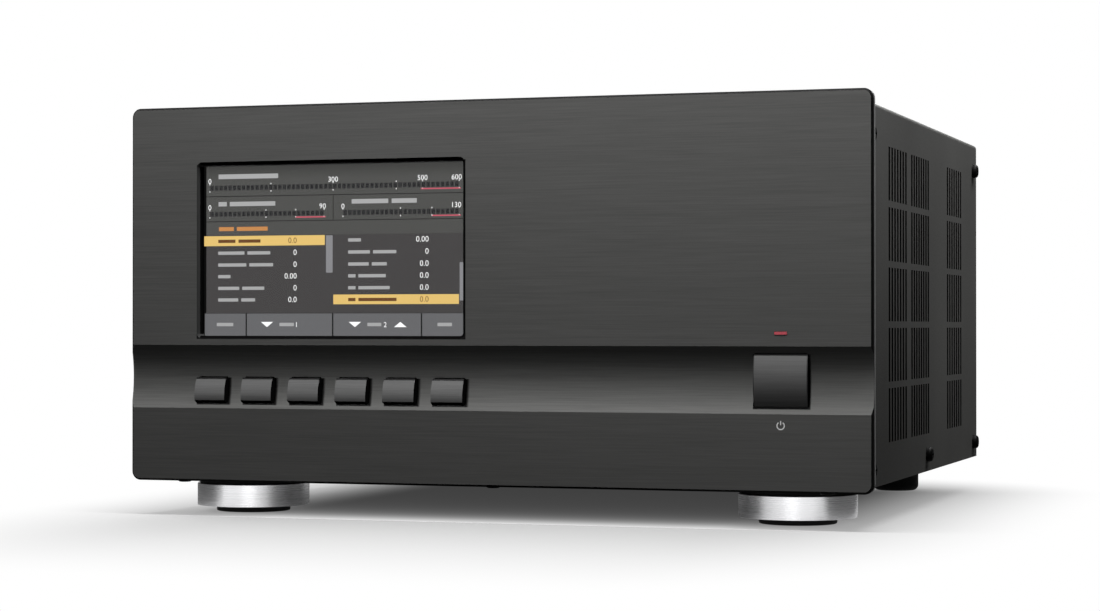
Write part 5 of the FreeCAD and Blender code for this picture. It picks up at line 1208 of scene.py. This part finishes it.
SOFTBOXES = (
    # name, place, target, size, power setting
    ("key_softbox", (0.06, -0.205, 0.45), (0.06, -0.205, 0.0), (0.6, 0.11), "key_power"),
    ("side_softbox", (0.215, 0.13, 0.32), (0.215, 0.13, 0.0), (0.1, 0.3), "side_power"),
    ("top_softbox", (0.0, 0.3, 1.8), (0.0, 0.0, 0.0), (1.6, 1.6), "top_power"),
    ("rear_softbox", (-0.5, 1.5, 0.9), (0.0, 0.14, 0.07), (1.2, 0.8), "fill_power"),
    ("left_softbox", (-1.5, 0.2, 0.9), (-0.14, 0.0, 0.07), (1.2, 0.8), "fill_power"),
)
FRONT_SOFTBOX = ("front_softbox", (0.12, -0.98, 0.13), (0.0, -0.1, 0.01), (0.4, 0.2), "foot_power")
LOW = 0.0002                              # height of the cards that lie on the floor
FLAGS = (
    # name, level, four corners
    ("left_flag", 0.05, ((-1.0, -0.72, 0.0), (-1.0, 0.6, 0.0), (-1.0, 0.6, 1.0), (-1.0, -0.72, 1.0))),
    ("left_floor_flag", 0.12,
     ((-0.15, -0.165, LOW), (-1.0, -1.0, LOW), (-1.0, 0.6, LOW), (-0.15, 0.6, LOW))),
    ("right_flag", 0.05, ((1.0, -0.9, 0.0), (1.0, 0.6, 0.0), (1.0, 0.6, 1.0), (1.0, -0.9, 1.0))),
    ("right_floor_flag", 0.12,
     ((0.155, -0.125, LOW), (1.0, -0.62, LOW), (1.9, 1.3, LOW), (0.15, 1.3, LOW))),
    ("middle_floor_flag", 0.05,
     ((-0.075, -0.176, LOW), (0.075, -0.176, LOW), (0.075, -0.08, LOW), (-0.075, -0.08, LOW))),
    ("rear_flag", 0.05, ((0.25, 1.3, 0.0), (1.9, 1.3, 0.0), (1.9, 1.3, 1.4), (0.25, 1.3, 1.4))),
)
WHITE = (1.0, 1.0, 1.0)
AMBIENT = 0.03                            # strength of the even light
CAMERA_PLACE = (0.3218, -1.04393, 0.0736)
CAMERA_TILT, CAMERA_TURN = 90.449, 18.113   # degrees about X and about Z
FLOOR_SIZE = 12.0                         # size given to the floor's grid
FLOOR_DROP = 0.00002                      # keeps the floor just below the feet
FLOOR_BOUNCE = (0.02, 0.02, 0.02)         # the floor's colour for light that bounces
# The floor keeps its lamp-lit colour and real shadow only near the cover's box, so the shadow's reach is
# painted by distance from the box.
SHADOW_BESIDE, SHADOW_BEHIND = 0.055, 0.04   # the shadow starts this far within the cover's box
SHADOW_REACH = 0.12                       # where it has turned to white
SHADOW_AHEAD = 0.5                        # share of the distance that counts ahead of the cover
SHADOW_WHITE = 0.05                       # share of white painted into the shadow
LEAK_LEVEL = 0.6                          # painted light: share of white laid on the floor under the panel
LEAK_REACH = 20 * MM                      # how far behind the panel it has fallen to under a half
LEAK_POWER = 1.2                          # how fast it falls beyond that
LEAK_SIDE = 0.05                          # where it ends beside the cover


def add_softbox(settings, name, place, target, size, power):
    light = bpy.data.lights.new(name, "AREA")
    light.shape = "RECTANGLE"
    light.size, light.size_y = size
    light.energy = getattr(settings, power)
    lamp = bpy.data.objects.new(name, light)
    lamp.visible_camera = False
    lamp.location = place
    lamp.rotation_euler = (Vector(target) - Vector(place)).to_track_quat("-Z", "Y").to_euler()
    bpy.context.scene.collection.objects.link(lamp)
    return lamp


def left_out(name, objects):
    """A light linking collection that leaves its objects out."""
    group = bpy.data.collections.new(name)
    for item in objects:
        group.objects.link(item)
    for entry in group.collection_objects:
        entry.light_linking.link_state = "EXCLUDE"
    return group


def bare_wiring(owner):
    """The wiring of a world or material without its first nodes."""
    owner.use_nodes = True
    owner.node_tree.nodes.clear()
    return Wiring(owner.node_tree)


def seen_rays(wiring):
    """1 for rays of the camera, gloss and glass, 0 for the light that falls on things."""
    path = wiring.add("ShaderNodeLightPath").outputs
    seen = wiring.plus(path["Is Camera Ray"], path["Is Glossy Ray"], use_clamp=True)
    return wiring.plus(seen, path["Is Transmission Ray"], use_clamp=True)


def light_world():
    """White where the camera, gloss and glass see it; a low even light elsewhere."""
    world = bpy.data.worlds.new("studio")
    bpy.context.scene.world = world
    wiring = bare_wiring(world)
    ambient, white = (wiring.add("ShaderNodeBackground", {"Color": WHITE, "Strength": strength}).outputs[0]
                      for strength in (AMBIENT, 1.0))
    mixed = wiring.add("ShaderNodeMixShader", {0: seen_rays(wiring), 1: ambient, 2: white})
    wiring.add("ShaderNodeOutputWorld", {"Surface": mixed.outputs[0]})


def add_flag(name, level, corners):
    """A dark card that only gloss sees, which darkens the sides of bright metal."""
    mesh = bpy.data.meshes.new(name)
    mesh.from_pydata(corners, [], [(0, 1, 2, 3)])
    mesh.materials.append(new_material(name, Base_Color=(0.0, 0.0, 0.0), Specular_IOR_Level=0.0,
                                       Emission_Color=(level, level, level), Emission_Strength=1.0)[0])
    card = bpy.data.objects.new(name, mesh)
    card.visible_camera = False
    card.visible_diffuse = False
    card.visible_shadow = False
    card.visible_transmission = False
    bpy.context.scene.collection.objects.link(card)


def floor_material(colour):
    """Pale floor that turns to the background's white away from the amplifier, with painted light under the
    panel's front edge.
    """
    material = bpy.data.materials.new("studio_floor")
    wiring = bare_wiring(material)
    place = wiring.place()
    parts = wiring.parts(place)
    low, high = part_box("top_cover")
    beside = wiring.minus(wiring.math("ABSOLUTE", parts["X"]), high.x - SHADOW_BESIDE, use_clamp=True)
    behind = wiring.minus(parts["Y"], high.y - SHADOW_BEHIND, use_clamp=True)
    ahead = wiring.times(wiring.minus(low.y, parts["Y"], use_clamp=True), SHADOW_AHEAD)
    away = wiring.length(beside, wiring.plus(behind, ahead))
    grain = wiring.noise(Vector=place, Scale=30.0, Detail=2.0)
    shade = wiring.blend(grain, [c * 0.99 for c in colour], colour)
    seen = seen_rays(wiring)
    matt = wiring.add("ShaderNodeBsdfDiffuse", {"Color": wiring.blend(seen, FLOOR_BOUNCE, shade)})
    # painted light that leaks under the panel's front edge
    inside = wiring.minus(parts["Y"], panel_low.y)
    reach = wiring.math("DIVIDE", wiring.times(inside, inside), LEAK_REACH ** 2)
    leak = wiring.math("DIVIDE", LEAK_LEVEL, wiring.math("POWER", wiring.plus(reach, 1.0), LEAK_POWER))
    leak = wiring.times(leak, wiring.math("GREATER_THAN", inside, 0.0),
                        wiring.spread(beside, 0.0, LEAK_SIDE, 1.0, 0.0))
    fade = wiring.spread(away, 0.0, SHADOW_REACH, SHADOW_WHITE, 1.0, smooth=True)
    fade = wiring.plus(fade, leak, use_clamp=True)
    white = wiring.add("ShaderNodeEmission", {"Color": WHITE, "Strength": 1.0})
    mixed = wiring.add("ShaderNodeMixShader",
                       {0: wiring.times(fade, seen), 1: matt.outputs[0], 2: white.outputs[0]})
    wiring.add("ShaderNodeOutputMaterial", {"Surface": mixed.outputs[0]})
    return material


def build_floor(colour):
    shape = bmesh.new()
    bmesh.ops.create_grid(shape, x_segments=1, y_segments=1, size=FLOOR_SIZE)
    mesh = bpy.data.meshes.new("studio_floor")
    shape.to_mesh(mesh)
    shape.free()
    mesh.materials.append(floor_material(colour))
    ground = bpy.data.objects.new("studio_floor", mesh)
    ground.location.z = -FLOOR_DROP
    bpy.context.scene.collection.objects.link(ground)
    return ground


def place_camera(lens):
    camera = bpy.data.cameras.new("camera")
    camera.lens = lens
    camera.sensor_width = 36.0
    camera.clip_start = 0.05
    view = bpy.data.objects.new("camera", camera)
    view.location = CAMERA_PLACE
    view.rotation_euler = (math.radians(CAMERA_TILT), 0.0, math.radians(CAMERA_TURN))
    bpy.context.scene.collection.objects.link(view)
    bpy.context.scene.camera = view


def build_studio(settings):
    """Floor, world, lamps and camera."""
    bpy.context.scene.view_settings.view_transform = "Standard"
    ground = build_floor(settings.floor_colour)
    light_world()
    key, side = [add_softbox(settings, *row) for row in SOFTBOXES][:2]
    caps = [nodes[name] for name in small_keys + ["power_button"]]
    key.light_linking.blocker_collection = left_out("unshadowed_keys", caps)
    side.light_linking.receiver_collection = left_out("floor_without_side_lamp", [ground])
    for row in FLAGS:
        add_flag(*row)
    add_softbox(settings, *FRONT_SOFTBOX).visible_diffuse = False
    place_camera(settings.lens)


# ---- operators ---------------------------------------------------------------------------

class AMPLIFIER_OT_studio(bpy.types.Operator):
    """Set up the floor, the lamps and the camera"""

    bl_idname = "amplifier.studio"
    bl_label = "Set Up Studio"

    def execute(self, context):
        build_studio(context.scene.amplifier_studio)
        return {"FINISHED"}


class AMPLIFIER_OT_finishes(bpy.types.Operator):
    """Give every solid of the amplifier its finish"""

    bl_idname = "amplifier.finishes"
    bl_label = "Apply Finishes"

    def execute(self, context):
        dress_nodes(context.scene.amplifier_finish)
        return {"FINISHED"}


class AMPLIFIER_OT_display(bpy.types.Operator):
    """Build the picture on the display"""

    bl_idname = "amplifier.display"
    bl_label = "Build Display Picture"

    def execute(self, context):
        build_display(context.scene.amplifier_display)
        return {"FINISHED"}


class AMPLIFIER_OT_power_mark(bpy.types.Operator):
    """Print the power mark below the power button"""

    bl_idname = "amplifier.power_mark"
    bl_label = "Add Power Mark"

    def execute(self, context):
        build_power_mark()
        return {"FINISHED"}


class AMPLIFIER_OT_threads(bpy.types.Operator):
    """Wind the threads of the coaxial sockets and the earth stud"""

    bl_idname = "amplifier.threads"
    bl_label = "Add Threads"

    def execute(self, context):
        build_threads()
        return {"FINISHED"}


class AMPLIFIER_OT_vent_lips(bpy.types.Operator):
    """Add the black lips of painted shade along the vent slots"""

    bl_idname = "amplifier.vent_lips"
    bl_label = "Add Vent Lips"

    def execute(self, context):
        build_vent_shade_lips()
        return {"FINISHED"}


class AMPLIFIER_OT_foot_washers(bpy.types.Operator):
    """Add the washers above the front feet"""

    bl_idname = "amplifier.foot_washers"
    bl_label = "Add Foot Washers"

    def execute(self, context):
        build_foot_washers()
        return {"FINISHED"}


class AMPLIFIER_OT_phono_rings(bpy.types.Operator):
    """Add the coloured rings of the phono sockets"""

    bl_idname = "amplifier.phono_rings"
    bl_label = "Add Phono Rings"

    def execute(self, context):
        build_phono_rings()
        return {"FINISHED"}


class AMPLIFIER_OT_rocker_marks(bpy.types.Operator):
    """Print the two marks on the mains rocker"""

    bl_idname = "amplifier.rocker_marks"
    bl_label = "Add Rocker Marks"

    def execute(self, context):
        build_rocker_marks()
        return {"FINISHED"}


class AMPLIFIER_OT_coils(bpy.types.Operator):
    """Put wound coils in place of the filter's plain rings"""

    bl_idname = "amplifier.coils"
    bl_label = "Wind Coils"

    def execute(self, context):
        build_coils()
        return {"FINISHED"}


panel_rows = (("amplifier_finish", ("finishes", "power_mark", "threads", "vent_lips", "foot_washers",
                                    "phono_rings", "rocker_marks", "coils")),
              ("amplifier_display", ("display",)),
              ("amplifier_studio", ("studio",)))


class AMPLIFIER_PT_panel(bpy.types.Panel):
    """Settings and steps of the amplifier"""

    bl_label = "Amplifier"
    bl_idname = "AMPLIFIER_PT_panel"
    bl_space_type = "VIEW_3D"
    bl_region_type = "UI"
    bl_category = "Amplifier"

    def draw(self, context):
        for group, operators in panel_rows:
            box = self.layout.box()
            settings = getattr(context.scene, group)
            for name in settings.bl_rna.properties.keys():
                if name not in ("rna_type", "name"):
                    box.prop(settings, name)
            for operator in operators:
                box.operator("amplifier." + operator)


classes = (AmplifierFinish, AmplifierDisplay, AmplifierStudio, AMPLIFIER_OT_studio,
           AMPLIFIER_OT_finishes, AMPLIFIER_OT_display, AMPLIFIER_OT_power_mark,
           AMPLIFIER_OT_threads, AMPLIFIER_OT_vent_lips, AMPLIFIER_OT_foot_washers,
           AMPLIFIER_OT_phono_rings, AMPLIFIER_OT_rocker_marks, AMPLIFIER_OT_coils,
           AMPLIFIER_PT_panel)


def register():
    for cls in classes:
        bpy.utils.register_class(cls)
    bpy.types.Scene.amplifier_finish = PointerProperty(type=AmplifierFinish)
    bpy.types.Scene.amplifier_display = PointerProperty(type=AmplifierDisplay)
    bpy.types.Scene.amplifier_studio = PointerProperty(type=AmplifierStudio)


def unregister():
    del bpy.types.Scene.amplifier_studio
    del bpy.types.Scene.amplifier_display
    del bpy.types.Scene.amplifier_finish
    for cls in reversed(classes):
        bpy.utils.unregister_class(cls)


def main():
    register()
    bpy.ops.amplifier.studio()
    bpy.ops.amplifier.finishes()
    bpy.ops.amplifier.display()
    bpy.ops.amplifier.power_mark()
    bpy.ops.amplifier.threads()
    bpy.ops.amplifier.vent_lips()
    bpy.ops.amplifier.foot_washers()
    bpy.ops.amplifier.phono_rings()
    bpy.ops.amplifier.rocker_marks()
    bpy.ops.amplifier.coils()
    bpy.context.view_layer.update()


if __name__ == "__main__":
    main()
